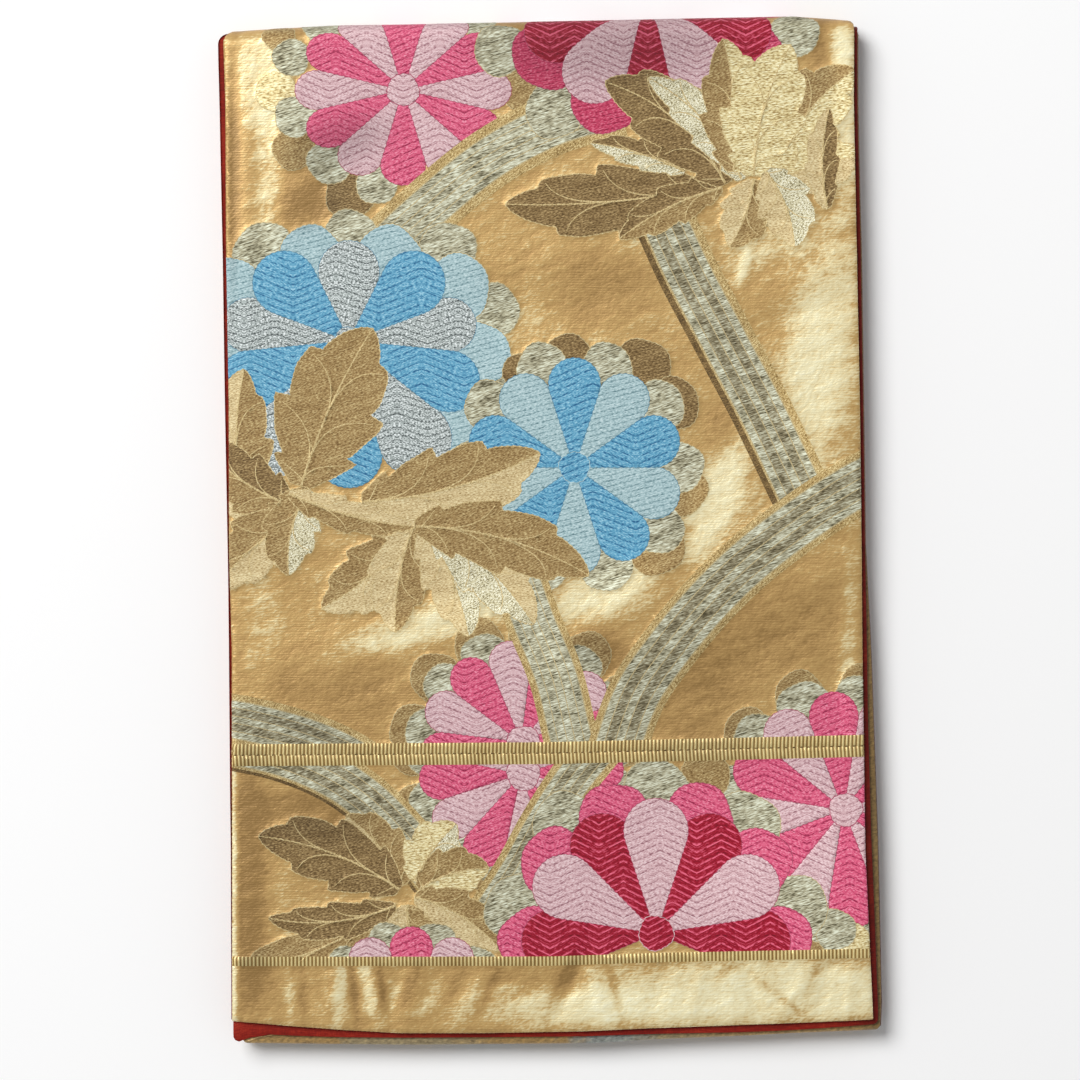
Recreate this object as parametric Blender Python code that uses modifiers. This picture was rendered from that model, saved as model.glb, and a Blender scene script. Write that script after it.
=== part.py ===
"""A fukuro obi, the wide double-cloth sash of a kimono, folded in eight and lying flat.

One long strip, a gold brocade face sewn edge to edge to a plain red lining, is folded in half
three times. The panel on top is the tare, the decorated end of the sash, face up, with its hem
towards -Y. From that hem the strip runs to the fold at +Y, over it and back along the underside
to a fold at -Y. The six leaves between the two outer ones are one layered solid.

Metres, +Z up. The origin is the middle of the bundle's outline, on the surface it lies on.
"""

import math
from collections import namedtuple

import bmesh
import bpy

MM = 0.001
NAME = "obi_sash"

# Thicknesses and gaps
WALL = 1.0 * MM  # face or lining, each with its share of the stiffening cloth
GAP = 0.3 * MM  # between neighbouring pieces
FOLD_WALL = 1.2 * MM  # face cloth where it turns round a fold of the lower leaves
HIDDEN_LEAVES = 6
LEAF = 12.8 * MM / HIDDEN_LEAVES  # pitch of the hidden leaves
LEAF_OVERLAP = 0.1 * MM  # by which two hidden leaves share cloth, so that they are one solid
LEAF_ROUND = 0.75 * MM  # rounding of a leaf's edge
NESTED_REACH = 1.2 * MM  # how far the middle lower leaf reaches into the lowest fold
HAND_END_DEPTH = 26.0 * MM  # how much of the hand end is a piece of its own

# Levels
LINING_UNDER_TOP = 2 * WALL + GAP
CORE_BASE = LINING_UNDER_TOP + GAP
CORE_TOP = CORE_BASE + HIDDEN_LEAVES * LEAF
LINING_TARE_TOP = CORE_TOP + GAP + WALL
FACE_TARE_TOP = LINING_TARE_TOP + GAP + WALL
MIDDLE = FACE_TARE_TOP / 2

# The outer fold at +Y, and the two folds at -Y
TOP_REACH = 8.0 * MM  # from the end of the flat panel to the tip of the fold
LEFT_CORNER = 6.0 * MM
RIGHT_CORNER = 2.6 * MM
BOTTOM_FOLD_TOP = CORE_BASE + 3 * LEAF - LEAF_OVERLAP - GAP
MID_FOLD_BASE = BOTTOM_FOLD_TOP + GAP
MID_FOLD_TOP = CORE_BASE + 5 * LEAF
BOTTOM_FOLD_BACK = 0.6 * MM  # the lowest fold ends this far inside the one above it

# How finely a cloth is divided, across and along
PANEL_GRID = (14, 20)
PLAIN_GRID = (14, 6)
FOLD_GRID = (14, 12)
SMALL_FOLD_GRID = (14, 8)
LEAF_GRID = (14, 8)

# Side edges in millimetres at stations along the bundle. The strip was folded a little askew, so
# the lower leaves show past the top one at the right, and the lining shows at the left.
SideRow = namedtuple("SideRow", "y lining_left face_left face_right hidden_left hidden_right")
SIDES = (
    SideRow(240, -162.8, -160.4, 149.3, -160.0, 150.0),
    SideRow(211, -162.0, -159.4, 149.1, -159.4, 150.2),
    SideRow(137, -160.6, -159.0, 150.6, -158.6, 152.2),
    SideRow(64, -159.7, -157.7, 152.1, -157.4, 152.9),
    SideRow(-10, -158.5, -157.5, 153.0, -156.6, 153.9),
    SideRow(-60, -157.8, -156.2, 153.4, -155.4, 157.0),
    SideRow(-157, -156.6, -156.1, 154.8, -153.2, 160.1),
    SideRow(-240, -156.4, -156.0, 158.7, -151.8, 162.8),
)

# End edges in millimetres at stations across the bundle: the fold at +Y, the tare's hem, the
# hem of the strip's other end (the hand end) just below it, and the fold at -Y.
EndRow = namedtuple("EndRow", "x top tare hand bottom")
ENDS = (
    EndRow(-156, 245.9, -240.9, -246.9, -252.3),
    EndRow(-130, 247.4, -243.1, -248.2, -252.6),
    EndRow(-105, 248.7, -245.0, -249.0, -252.9),
    EndRow(-74, 249.1, -246.8, -249.2, -253.2),
    EndRow(-34, 250.0, -246.8, -249.0, -252.8),
    EndRow(15, 251.0, -245.9, -248.5, -252.4),
    EndRow(49, 251.7, -244.4, -247.3, -250.4),
    EndRow(93, 252.6, -242.8, -246.5, -248.6),
    EndRow(120, 253.2, -241.8, -245.3, -247.2),
    EndRow(160, 250.4, -240.1, -242.4, -245.6),
)

# Broad swells of the top panel in millimetres: centre, half lengths along and across, turn in
# degrees from +X, and height.
SwellRow = namedtuple("SwellRow", "x y along across turn height")
SWELLS = (
    SwellRow(-95, 20, 120, 38, 20, 0.7),
    SwellRow(-60, -60, 95, 26, 18, 0.6),
    SwellRow(120, 60, 110, 30, 80, 0.7),
    SwellRow(60, -30, 80, 24, -42, 0.6),
    SwellRow(30, 180, 90, 34, 10, 0.6),
    SwellRow(40, -225, 110, 20, 4, 0.5),
)
SEAM_FADE = 16.0 * MM  # swells die out over this distance before the fold

GOLD = (0.56, 0.38, 0.16, 1.0)
RED = (0.50, 0.06, 0.03, 1.0)


def column_at(rows, key, column, place):
    """Value of a column at a place along the key column, all in millimetres in the table."""
    ordered = sorted(rows, key=lambda row: getattr(row, key))
    wanted = min(max(place / MM, getattr(ordered[0], key)), getattr(ordered[-1], key))
    for low, high in zip(ordered, ordered[1:]):
        start = getattr(low, key)
        end = getattr(high, key)
        if wanted <= end:
            share = (wanted - start) / (end - start)
            return MM * (getattr(low, column) * (1 - share) + getattr(high, column) * share)
    return MM * getattr(ordered[-1], column)


def side(column, y):
    return column_at(SIDES, "y", column, y)


def end(column, x):
    return column_at(ENDS, "x", column, x)


def swell(x, y):
    """Height of the top panel above its flat level."""
    height = 0.0
    for row in SWELLS:
        turn = math.radians(row.turn)
        dx = x - row.x * MM
        dy = y - row.y * MM
        along = (dx * math.cos(turn) + dy * math.sin(turn)) / (row.along * MM)
        across = (dy * math.cos(turn) - dx * math.sin(turn)) / (row.across * MM)
        height += row.height * MM * math.exp(-along**2 - across**2)
    room = end("top", x) - TOP_REACH - y
    return height * min(max(room / SEAM_FADE, 0.0), 1.0)


def corner_inset(from_tip, radius):
    """How far a corner rounded to this radius draws the side edge in, this far from the tip."""
    if from_tip >= radius:
        return 0.0
    return radius - math.sqrt(max(radius**2 - (radius - from_tip) ** 2, 0.0))


def panel_point(u, v, edges, ends, height):
    """A place on a flat leaf: u from its left edge to its right one, v between its two ends."""
    left, right = edges
    y = 0.0
    x = 0.0
    for _ in range(3):
        x = left(y) + (right(y) - left(y)) * u
        y = ends[0](x) + (ends[1](x) - ends[0](x)) * v
    return (x, y, height(x, y))


def fold_point(u, v, edges, tip, reach, low, high, forward, corners=(0.0, 0.0)):
    """A place on a fold that turns from one level to another round a tip towards +Y or -Y."""
    left, right = edges
    turn = math.pi * v
    from_tip = reach * (1 - math.sin(turn))
    start = left + corner_inset(from_tip, corners[0])
    stop = right - corner_inset(from_tip, corners[1])
    x = start + (stop - start) * u
    y = tip(x) - forward * from_tip
    z = (low + high) / 2 + forward * (high - low) / 2 * math.cos(turn)
    return (x, y, z)


def cloth_material(name, color):
    material = bpy.data.materials.new(name)
    material.use_nodes = True
    shader = material.node_tree.nodes["Principled BSDF"]
    shader.inputs["Base Color"].default_value = color
    shader.inputs["Roughness"].default_value = 0.5
    shader.inputs["Metallic"].default_value = 0.0
    return material


def cloth(name, grid, point, wall, material, collection):
    """A sheet of cloth: an open grid bent to its place, given its thickness inwards."""
    mesh = bpy.data.meshes.new(name)
    net = bmesh.new()
    bmesh.ops.create_grid(net, x_segments=grid[0], y_segments=grid[1], size=0.5)
    for vertex in net.verts:
        vertex.co = point(vertex.co.x + 0.5, vertex.co.y + 0.5)
    net.to_mesh(mesh)
    net.free()
    mesh.shade_smooth()
    mesh.materials.append(material)
    sheet = bpy.data.objects.new(name, mesh)
    collection.objects.link(sheet)
    thickness = sheet.modifiers.new("thickness", "SOLIDIFY")
    thickness.thickness = wall
    thickness.offset = -1.0
    thickness.use_even_offset = True
    return sheet


def tare_panel(name, left, right, level, hem_inset, material, collection):
    """The panel on top, or the lining under it, from the tare's hem to the fold."""
    ends = (
        lambda x: end("tare", x) + hem_inset,
        lambda x: end("top", x) - TOP_REACH - GAP,
    )
    edges = (lambda y: side(left, y), lambda y: side(right, y))

    def point(u, v):
        return panel_point(u, v, edges, ends, lambda x, y: level + swell(x, y))

    return cloth(name, PANEL_GRID, point, WALL, material, collection)


def under_panel(name, level, thickness_side, material, collection):
    """The lowest leaf's face or lining, flat, running from the fold at +Y back to -Y."""
    ends = (
        lambda x: end("top", x) - TOP_REACH - GAP,
        lambda x: end("bottom", x) + BOTTOM_FOLD_BACK + bottom_reach() + GAP,
    )
    edges = (lambda y: side("hidden_left", y), lambda y: side("hidden_right", y) - 1.4 * MM)

    def point(u, v):
        return panel_point(u, v, edges, ends, lambda x, y: level)

    return cloth(name, PLAIN_GRID, point, thickness_side, material, collection)


def bottom_reach():
    return BOTTOM_FOLD_TOP / 2


def mid_reach():
    return (MID_FOLD_TOP - MID_FOLD_BASE) / 2


def top_fold(name, inset, left, material, collection):
    """The outer fold, from the top panel's level round to the underside's."""
    edges = (side(left, end("top", 0)), side("face_right", end("top", 0)))

    def tip(x):
        return end("top", x) - inset

    def point(u, v):
        return fold_point(
            u,
            v,
            edges,
            tip,
            TOP_REACH - inset,
            inset,
            FACE_TARE_TOP - inset,
            1,
            (LEFT_CORNER, RIGHT_CORNER),
        )

    return cloth(name, FOLD_GRID, point, WALL, material, collection)


def lower_fold(name, low, high, reach, back, inset, material, collection):
    """A fold at -Y with its face outside, from the lower leaf up to the one it turns into."""
    edges = (
        side("hidden_left", end("bottom", 0)) + inset,
        side("hidden_right", end("bottom", 0)) - inset,
    )

    def tip(x):
        return end("bottom", x) + back

    def point(u, v):
        return fold_point(u, v, edges, tip, reach, low, high, -1, (1.0 * MM, 1.6 * MM))

    return cloth(name, SMALL_FOLD_GRID, point, FOLD_WALL, material, collection)


def hand_end(name, material, collection):
    """The hand end of the strip, lining up, which shows as a red strip past the tare's hem."""
    ends = (
        lambda x: end("hand", x),
        lambda x: end("hand", x) + HAND_END_DEPTH,
    )
    edges = (
        lambda y: side("face_left", y) + 0.3 * MM,
        lambda y: (side("face_right", y) + side("hidden_right", y)) / 2,
    )

    def point(u, v):
        return panel_point(u, v, edges, ends, lambda x, y: CORE_TOP)

    return cloth(name, (10, 3), point, LEAF - GAP, material, collection)


def core_leaf_ends(index):
    """Where hidden leaf number index, counted from the lowest, stops at -Y and at +Y."""
    level = CORE_BASE + (index + 0.5) * LEAF
    corner = abs(level - MIDDLE) + LEAF / 2
    half_height = MIDDLE - CORE_BASE
    bulge = math.sqrt(max(1 - (corner / half_height) ** 2, 0.0))
    inner_reach = TOP_REACH - 2 * (WALL + GAP)
    top = -TOP_REACH + inner_reach * bulge - GAP
    if index == HIDDEN_LEAVES - 1:
        return ("hand", HAND_END_DEPTH + GAP, top)
    if index in (3, 4):
        return ("bottom", mid_reach() + GAP, top)
    reach = BOTTOM_FOLD_BACK + bottom_reach() + GAP
    if index == 1:
        reach -= NESTED_REACH
    return ("bottom", reach, top)


def core_leaf(index, material, collection):
    """One of the hidden leaves, a slab with rounded edges."""
    column, reach, top = core_leaf_ends(index)
    ends = (lambda x: end(column, x) + reach, lambda x: end("top", x) + top)
    shift = (0.0, 0.5, 0.2, 0.6, 0.1, -0.3)[index] * MM
    right_share = 0.5 if index == HIDDEN_LEAVES - 1 else 1.0

    def left(y):
        return side("hidden_left", y) + shift + 0.4 * MM

    def right(y):
        shown = side("face_right", y)
        return shown + (side("hidden_right", y) - shown) * right_share - shift - 0.4 * MM

    top_level = CORE_BASE + (index + 1) * LEAF
    overlap = LEAF_OVERLAP if index else 0.0

    def point(u, v):
        return panel_point(u, v, (left, right), ends, lambda x, y: top_level)

    slab = cloth(f"leaf_{index}", LEAF_GRID, point, LEAF + overlap, material, collection)
    rounding = slab.modifiers.new("rounding", "BEVEL")
    rounding.width = LEAF_ROUND
    rounding.segments = 2
    rounding.limit_method = "ANGLE"
    rounding.angle_limit = math.radians(50)
    return slab


def folded_core(name, material, collection, tools):
    """The six hidden leaves as one solid, layered at its edges."""
    leaves = [core_leaf(index, material, tools) for index in range(HIDDEN_LEAVES)]
    core = leaves[0]
    tools.objects.unlink(core)
    collection.objects.link(core)
    core.name = name
    for leaf in leaves[1:]:
        leaf.hide_render = True
        leaf.display_type = "WIRE"
        joint = core.modifiers.new(f"with_{leaf.name}", "BOOLEAN")
        joint.operation = "UNION"
        joint.solver = "EXACT"
        joint.object = leaf
    return core


def clear_scene():
    for item in list(bpy.data.objects):
        bpy.data.objects.remove(item, do_unlink=True)


def main():
    clear_scene()
    parts = bpy.data.collections.new(NAME)
    tools = bpy.data.collections.new("leaf_tools")
    bpy.context.scene.collection.children.link(parts)
    bpy.context.scene.collection.children.link(tools)
    gold = cloth_material("brocade_face", GOLD)
    red = cloth_material("lining", RED)

    tare_panel("face_tare", "face_left", "face_right", FACE_TARE_TOP, 0.0, gold, parts)
    tare_panel("lining_tare", "lining_left", "face_right", LINING_TARE_TOP, 0.8 * MM, red, parts)
    top_fold("face_top_fold", 0.0, "face_left", gold, parts)
    top_fold("lining_top_fold", WALL + GAP, "lining_left", red, parts)
    under_panel("face_under", 0.0, WALL, gold, parts)
    under_panel("lining_under", WALL + GAP, WALL, red, parts)
    lower_fold(
        "face_bottom_fold",
        0.0,
        BOTTOM_FOLD_TOP,
        bottom_reach(),
        BOTTOM_FOLD_BACK,
        0.8 * MM,
        gold,
        parts,
    )
    lower_fold("face_mid_fold", MID_FOLD_BASE, MID_FOLD_TOP, mid_reach(), 0.0, 0.0, gold, parts)
    hand_end("hand_end", red, parts)
    folded_core("folded_core", red, parts, tools)


main()
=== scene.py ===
"""A fukuro obi folded in eight, as it looks: gold brocade with woven flowers, and a red lining.

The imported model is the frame. Every visible piece is cloth on the form of the solids it stands
for: the decorated face of the top panel with the fold at +Y, the face on the underside, the
lining between them, and the strip that runs through the hidden leaves. Lengths in the tables
are in millimetres. The flowers, ribbons and leaves are drawn here from simple rules.
"""

import math
from collections import namedtuple

import bpy
import numpy as np
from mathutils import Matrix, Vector
from mathutils.geometry import delaunay_2d_cdt


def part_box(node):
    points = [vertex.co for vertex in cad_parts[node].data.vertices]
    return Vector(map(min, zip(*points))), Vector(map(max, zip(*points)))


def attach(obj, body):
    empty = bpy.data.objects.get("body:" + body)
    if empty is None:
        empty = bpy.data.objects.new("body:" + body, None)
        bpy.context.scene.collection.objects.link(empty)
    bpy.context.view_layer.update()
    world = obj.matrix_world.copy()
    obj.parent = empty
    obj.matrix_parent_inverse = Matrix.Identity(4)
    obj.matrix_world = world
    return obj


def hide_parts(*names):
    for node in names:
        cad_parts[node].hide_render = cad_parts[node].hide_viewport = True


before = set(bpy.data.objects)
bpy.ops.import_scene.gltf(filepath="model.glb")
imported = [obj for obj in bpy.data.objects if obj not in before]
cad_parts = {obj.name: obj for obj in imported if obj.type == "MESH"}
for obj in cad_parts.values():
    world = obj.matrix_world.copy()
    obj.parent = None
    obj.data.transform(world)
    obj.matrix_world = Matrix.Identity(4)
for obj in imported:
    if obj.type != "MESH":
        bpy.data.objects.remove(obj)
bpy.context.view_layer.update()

MM = 0.001
RNG = np.random.default_rng(8)

# ---------------------------------------------------------------- the folded form

# Side edges at stations along the bundle, and end edges at stations across it, as in the CAD.
SIDE_NAMES = ("y", "lining_left", "face_left", "face_right", "hidden_left", "hidden_right")
SIDES = np.array(
    (
        (-240, -156.4, -156.0, 158.7, -151.8, 162.8),
        (-157, -156.6, -156.1, 154.8, -153.2, 160.1),
        (-60, -157.8, -156.2, 153.4, -155.4, 157.0),
        (-10, -158.5, -157.5, 153.0, -156.6, 153.9),
        (64, -159.7, -157.7, 152.1, -157.4, 152.9),
        (137, -160.6, -159.0, 150.6, -158.6, 152.2),
        (211, -162.0, -159.4, 149.1, -159.4, 150.2),
        (240, -162.8, -160.4, 149.3, -160.0, 150.0),
    )
)
END_NAMES = ("x", "top", "tare", "hand", "bottom")
ENDS = np.array(
    (
        (-156, 245.9, -240.9, -246.9, -252.3),
        (-130, 247.4, -243.1, -248.2, -252.6),
        (-105, 248.7, -245.0, -249.0, -252.9),
        (-74, 249.1, -246.8, -249.2, -253.2),
        (-34, 250.0, -246.8, -249.0, -252.8),
        (15, 251.0, -245.9, -248.5, -252.4),
        (49, 251.7, -244.4, -247.3, -250.4),
        (93, 252.6, -242.8, -246.5, -248.6),
        (120, 253.2, -241.8, -245.3, -247.2),
        (160, 250.4, -240.1, -242.4, -245.6),
    )
)

FACE_LEVEL = (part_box("face_tare")[0].z + 1.0 * MM) / MM  # top face before its swells
FOLD_REACH = 8.0  # from the end of the flat panel to the tip of the fold at +Y
FOLD_HALF = FACE_LEVEL / 2
FOLD_ARC = math.pi * (FOLD_REACH + FOLD_HALF) / 2  # length of cloth round that fold
LEFT_CORNER = 6.0  # radii of the corners at that fold
RIGHT_CORNER = 2.6
LEFT_DRAWN = 24.0  # how far in from the edge the cloth is drawn along with the corner
RIGHT_DRAWN = 16.0
RIM = 1.0  # radius to which the face turns down at its edges
RIM_TURN = 1.9  # how far it turns, in radians


def side(name, y):
    return np.interp(y, SIDES[:, 0], SIDES[:, SIDE_NAMES.index(name)])


def end(name, x):
    return np.interp(x, ENDS[:, 0], ENDS[:, END_NAMES.index(name)])


def flat_end(x):
    return end("top", x) - FOLD_REACH


def corner_inset(from_tip, radius):
    """How far a rounded corner draws a side edge in, this far from the tip of the fold."""
    inside = np.clip(radius - from_tip, 0.0, radius)
    return radius - np.sqrt(radius**2 - inside**2)


# Soft swells and troughs of the top panel: centre, half lengths along and across, turn in
# degrees from +X, height. The first six are the CAD's; the rest are the cloth's own creases.
SWELLS = (
    (-95, 20, 120, 38, 20, 0.7),
    (-60, -60, 95, 26, 18, 0.6),
    (120, 60, 110, 30, 80, 0.7),
    (60, -30, 80, 24, -42, 0.6),
    (30, 180, 90, 34, 10, 0.6),
    (40, -225, 110, 20, 4, 0.5),
    (-155.5, 160, 120, 2.2, 90, -0.55),
    (-148, 170, 90, 4.0, 90, 0.35),
    (-152, -170, 90, 2.6, 91, -0.35),
    (-62, -40, 60, 7, 19, 0.45),
    (-60, -66, 62, 8, 17, -0.4),
    (118, 104, 50, 7, 22, -0.35),
    (128, 124, 40, 8, 24, 0.4),
    (95, 130, 16, 3.0, 76, 0.35),
    (140, 30, 60, 8, 86, 0.4),
    (144, -50, 70, 4, 88, 0.3),
    (120, -30, 60, 9, 24, 0.4),
    (100, -62, 70, 10, 30, -0.35),
    (30, -40, 44, 8, 35, 0.4),
    (0, 132, 70, 9, 4, 0.3),
    (20, 112, 60, 8, 8, -0.3),
    (-110, 165, 40, 8, 58, -0.35),
    (144, 236, 18, 5, 88, 0.3),
    (-118, -140, 60, 8, -22, -0.3),
    (-66, -227, 60, 4, 74, 0.3),
    (-106, -226, 20, 3.4, 84, 0.6),
    (-97, -226, 20, 3.0, 96, -0.6),
    (-86, -226, 18, 3.0, 100, 0.6),
    (-77, -228, 16, 3.2, 78, -0.5),
    (-120, -228, 16, 3.4, 104, -0.45),
    (-38, -227, 16, 4.0, 60, 0.45),
    (8, -226, 22, 5, 66, -0.6),
    (24, -230, 18, 3.6, 112, 0.45),
    (52, -228, 18, 3.6, 70, -0.25),
    (72, -226, 18, 3.2, 76, 0.4),
    (99, -226, 20, 3.0, 104, -0.45),
    (121, -226, 24, 3.4, 58, 0.45),
    (134, -226, 16, 3.4, 80, -0.4),
    (147, -228, 16, 2.6, 86, 0.4),
    (140, -213, 14, 2.8, 24, -0.3),
    (88, -226, 20, 4, 98, 0.25),
    (116, -224, 22, 4, 118, -0.3),
    (-20, -232, 60, 4, 2, 0.2),
    (60, -236, 70, 5, 1, 0.25),
)
PUCKERS = (
    (9.0, 37.0, 0.06),
    (-14.0, 23.0, 0.06),
    (21.0, -11.0, 0.05),
    (5.3, 6.1, 0.03),
    (-3.4, 7.9, 0.018),
    (4.1, -2.9, 0.014),
)
SEAM_FADE = 16.0


def bump_at(x, y, oval, power=1.0):
    """1 at the middle of an oval patch, fading to 0 around it."""
    middle_x, middle_y, half_length, half_width, degrees = oval
    turn = math.radians(degrees)
    along = ((x - middle_x) * math.cos(turn) + (y - middle_y) * math.sin(turn)) / half_length
    across = ((y - middle_y) * math.cos(turn) - (x - middle_x) * math.sin(turn)) / half_width
    return np.exp(-((along**2 + across**2) ** power))


def relief(x, y):
    """Height of the top panel's cloth above its flat level."""
    height = np.zeros_like(x)
    for *oval, size in SWELLS:
        height += size * bump_at(x, y, oval)
    for wide, deep, size in PUCKERS:
        height += size * np.sin(x / wide + y / deep) * np.sin(x / deep - y / wide + 0.7)
    return height * np.clip((flat_end(x) - y) / SEAM_FADE, 0.0, 1.0)


def turn_sides(flat_x, left, right):
    """X of cloth whose sides turn round their edges, and how far each side has turned."""
    left_turn = np.clip((left + RIM - flat_x) / RIM, 0.0, None)
    right_turn = np.clip((flat_x - right + RIM) / RIM, 0.0, None)
    x = np.where(left_turn > 0, left + RIM - RIM * np.sin(left_turn), flat_x)
    x = np.where(right_turn > 0, right - RIM + RIM * np.sin(right_turn), x)
    return x, left_turn, right_turn


def lay_on_top(flat_x, flat_y, lift):
    """Where a place on the decorated face lies, wrapped round the fold and its rims turned in."""
    around = np.clip((flat_y - flat_end(flat_x)) / (FOLD_ARC / math.pi), 0.0, math.pi)
    from_tip = FOLD_REACH * (1 - np.sin(around))
    folded = around > 0
    left_inset = np.where(folded, corner_inset(from_tip, LEFT_CORNER), 0.0)
    right_inset = np.where(folded, corner_inset(from_tip, RIGHT_CORNER), 0.0)
    left = side("face_left", flat_y)
    right = side("face_right", flat_y)
    x, left_turn, right_turn = turn_sides(flat_x, left, right)
    hem = end("tare", flat_x)
    hem_turn = np.clip((hem + RIM - flat_y) / RIM, 0.0, None)
    x = x + left_inset * np.clip(1 - (x - left) / LEFT_DRAWN, 0, 1) ** 2
    x = x - right_inset * np.clip(1 - (right - x) / RIGHT_DRAWN, 0, 1) ** 2
    drop = RIM * (3 - np.cos(left_turn) - np.cos(right_turn) - np.cos(hem_turn))
    y = np.minimum(flat_y, flat_end(flat_x))
    y = np.where(hem_turn > 0, hem + RIM - RIM * np.sin(hem_turn), y)
    out = relief(flat_x, flat_y) + lift * (1 - around / math.pi) - drop
    y = y + np.sin(around) * (FOLD_REACH + out)
    z = np.where(folded, FOLD_HALF + np.cos(around) * (FOLD_HALF + out), FACE_LEVEL + out)
    beyond = np.clip(flat_y - flat_end(flat_x) - FOLD_ARC, 0.0, None)
    return np.stack((x, y - beyond, z), axis=1)


UNDER_END = 4.9  # where the underside's face stops short of the fold at -Y
UNDER_INSET = 1.4  # from the hidden leaves' right edge
UNDER_LIFT = 0.3  # the motifs are pressed flat by the bundle's weight, to this share


def lay_under(flat_x, flat_y, lift):
    """Where a place on the underside's face lies, its rims turned up."""
    right = side("hidden_right", flat_y) - UNDER_INSET
    x, left_turn, right_turn = turn_sides(flat_x, side("hidden_left", flat_y), right)
    rise = RIM * (2 - np.cos(left_turn) - np.cos(right_turn))
    pressed = UNDER_LIFT * np.max(lift) - UNDER_LIFT * lift
    return np.stack((x, flat_y, rise + pressed), axis=1)


# ---------------------------------------------------------------- drawing the brocade

# The face is woven in three fields, parted by two rows of gold ribs: the main one, one towards
# the hem, and the plain hem itself.
LINE_1 = ((-156, -110.3), (0, -109.2), (155, -105.6))
LINE_2 = ((-156, -211.4), (0, -211.2), (60, -209.3), (155, -207.4))
LINE_1_HALF = 5.4
LINE_2_HALF = 2.3
MAIN, LOWER, HEM = 0, 1, 2

# Cloths, in the order of their material slots, each with how far it stands above the ground.
CLOTHS = (
    ("ground", 0.0),
    ("cord", 0.26),
    ("rose", 0.30),
    ("pale_pink", 0.32),
    ("crimson", 0.28),
    ("deep_rose", 0.24),
    ("blue", 0.30),
    ("pale_blue", 0.30),
    ("silver_white", 0.30),
    ("silver_green", 0.24),
    ("silver_dark", 0.2),
    ("leaf_gold", 0.24),
    ("leaf_brown", 0.2),
    ("leaf_bright", 0.26),
    ("leaf_silver", 0.24),
    ("shade_brown", 0.05),
    ("border", 0.22),
    ("leaf_cord", 0.4),
    ("leaf_tan", 0.25),
    # Thin lines of painted shade round the petals and flower middles
    ("rose_painted_shade_line", 0.08),
    ("blue_painted_shade_line", 0.08),
    ("ribs_rising", 0.42),
    ("ribs_falling", 0.42),
    ("ribs_single", 0.34),
)
CLOTH_NAMES = tuple(name for name, _ in CLOTHS)
CLOTH_LIFTS = np.array([lift for _, lift in CLOTHS])

STEP = 1.5  # between the points of an outline
SERRATION = 0.16  # woven edges are stepped by this much
CORD_WIDTH = 0.4
GROOVE_WIDTH = 0.3
LEAF_OUTLINE = 0.45
MIDRIB = 0.55  # half widths where they start
VEIN = 0.34
# Each petal cloth's groove line: a thin darker line round its petals, painted shade where they
# stand above it
GROOVES = {
    "rose": "rose_painted_shade_line",
    "pale_pink": "rose_painted_shade_line",
    "crimson": "rose_painted_shade_line",
    "blue": "blue_painted_shade_line",
    "pale_blue": "blue_painted_shade_line",
    "silver_white": "blue_painted_shade_line",
}

Shape = namedtuple("Shape", "outline cloth field")

# Half width of a leaf along it, as a share of its widest
LEAF_AT = (0.0, 0.1, 0.25, 0.45, 0.62, 0.78, 0.9, 0.97, 1.0)
LEAF_WIDTHS = (0.22, 0.56, 0.88, 1.0, 0.94, 0.72, 0.42, 0.18, 0.0)
LOBES = 3.3  # down each side of a leaf
LOBE_SHIFTS = (0.55, 0.25)  # where the first lobe starts at the left and at the right
LOBE_DEPTH = 0.3


def pairs(x, y):
    return np.stack((x, y), axis=1)


def there_and_back(line, other):
    """An outline along one line and back along another."""
    return np.vstack((line, other[::-1]))


def line_at(line, x):
    return np.interp(x, [point[0] for point in line], [point[1] for point in line])


def field_of(points):
    """Which of the three fields each point is in."""
    x, y = points.T
    return np.where(y > line_at(LINE_1, x), MAIN, np.where(y > line_at(LINE_2, x), LOWER, HEM))


def spaced(outline, step):
    """A closed outline as points a step apart."""
    closed = np.vstack((outline, outline[:1]))
    gaps = np.hypot(*np.diff(closed, axis=0).T)
    run = np.concatenate(((0.0,), np.cumsum(gaps)))
    count = max(int(run[-1] / step), 6)
    at = np.arange(count) * run[-1] / count
    return pairs(np.interp(at, run, closed[:, 0]), np.interp(at, run, closed[:, 1]))


def sideways(points, closed):
    """Unit vectors across a line, to its left."""
    if closed:
        ahead = np.roll(points, -1, axis=0) - np.roll(points, 1, axis=0)
    else:
        ahead = np.gradient(points, axis=0)
    ahead /= np.maximum(np.hypot(ahead[:, 0], ahead[:, 1]), 1e-9)[:, None]
    return pairs(-ahead[:, 1], ahead[:, 0])


def area_of(outline):
    x, y = outline.T
    return 0.5 * np.sum(x * np.roll(y, -1) - y * np.roll(x, -1))


def grown(outline, width):
    """The outline moved outwards."""
    return outline - sideways(outline, True) * width * np.sign(area_of(outline))


def curve(points, step):
    """A smooth line through a few points."""
    known = np.array(points, float)
    known = np.vstack((2 * known[0] - known[1], known, 2 * known[-1] - known[-2]))
    found = []
    for a, b, c, d in zip(known, known[1:], known[2:], known[3:]):
        count = max(int(np.hypot(*(c - b)) / step), 2)
        t = (np.arange(count) / count)[:, None]
        square, cube = 2 * a - 5 * b + 4 * c - d, 3 * b - a - 3 * c + d
        found.append(0.5 * (2 * b + (c - a) * t + square * t**2 + cube * t**3))
    found.append(known[-2][None])
    return np.vstack(found)


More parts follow.
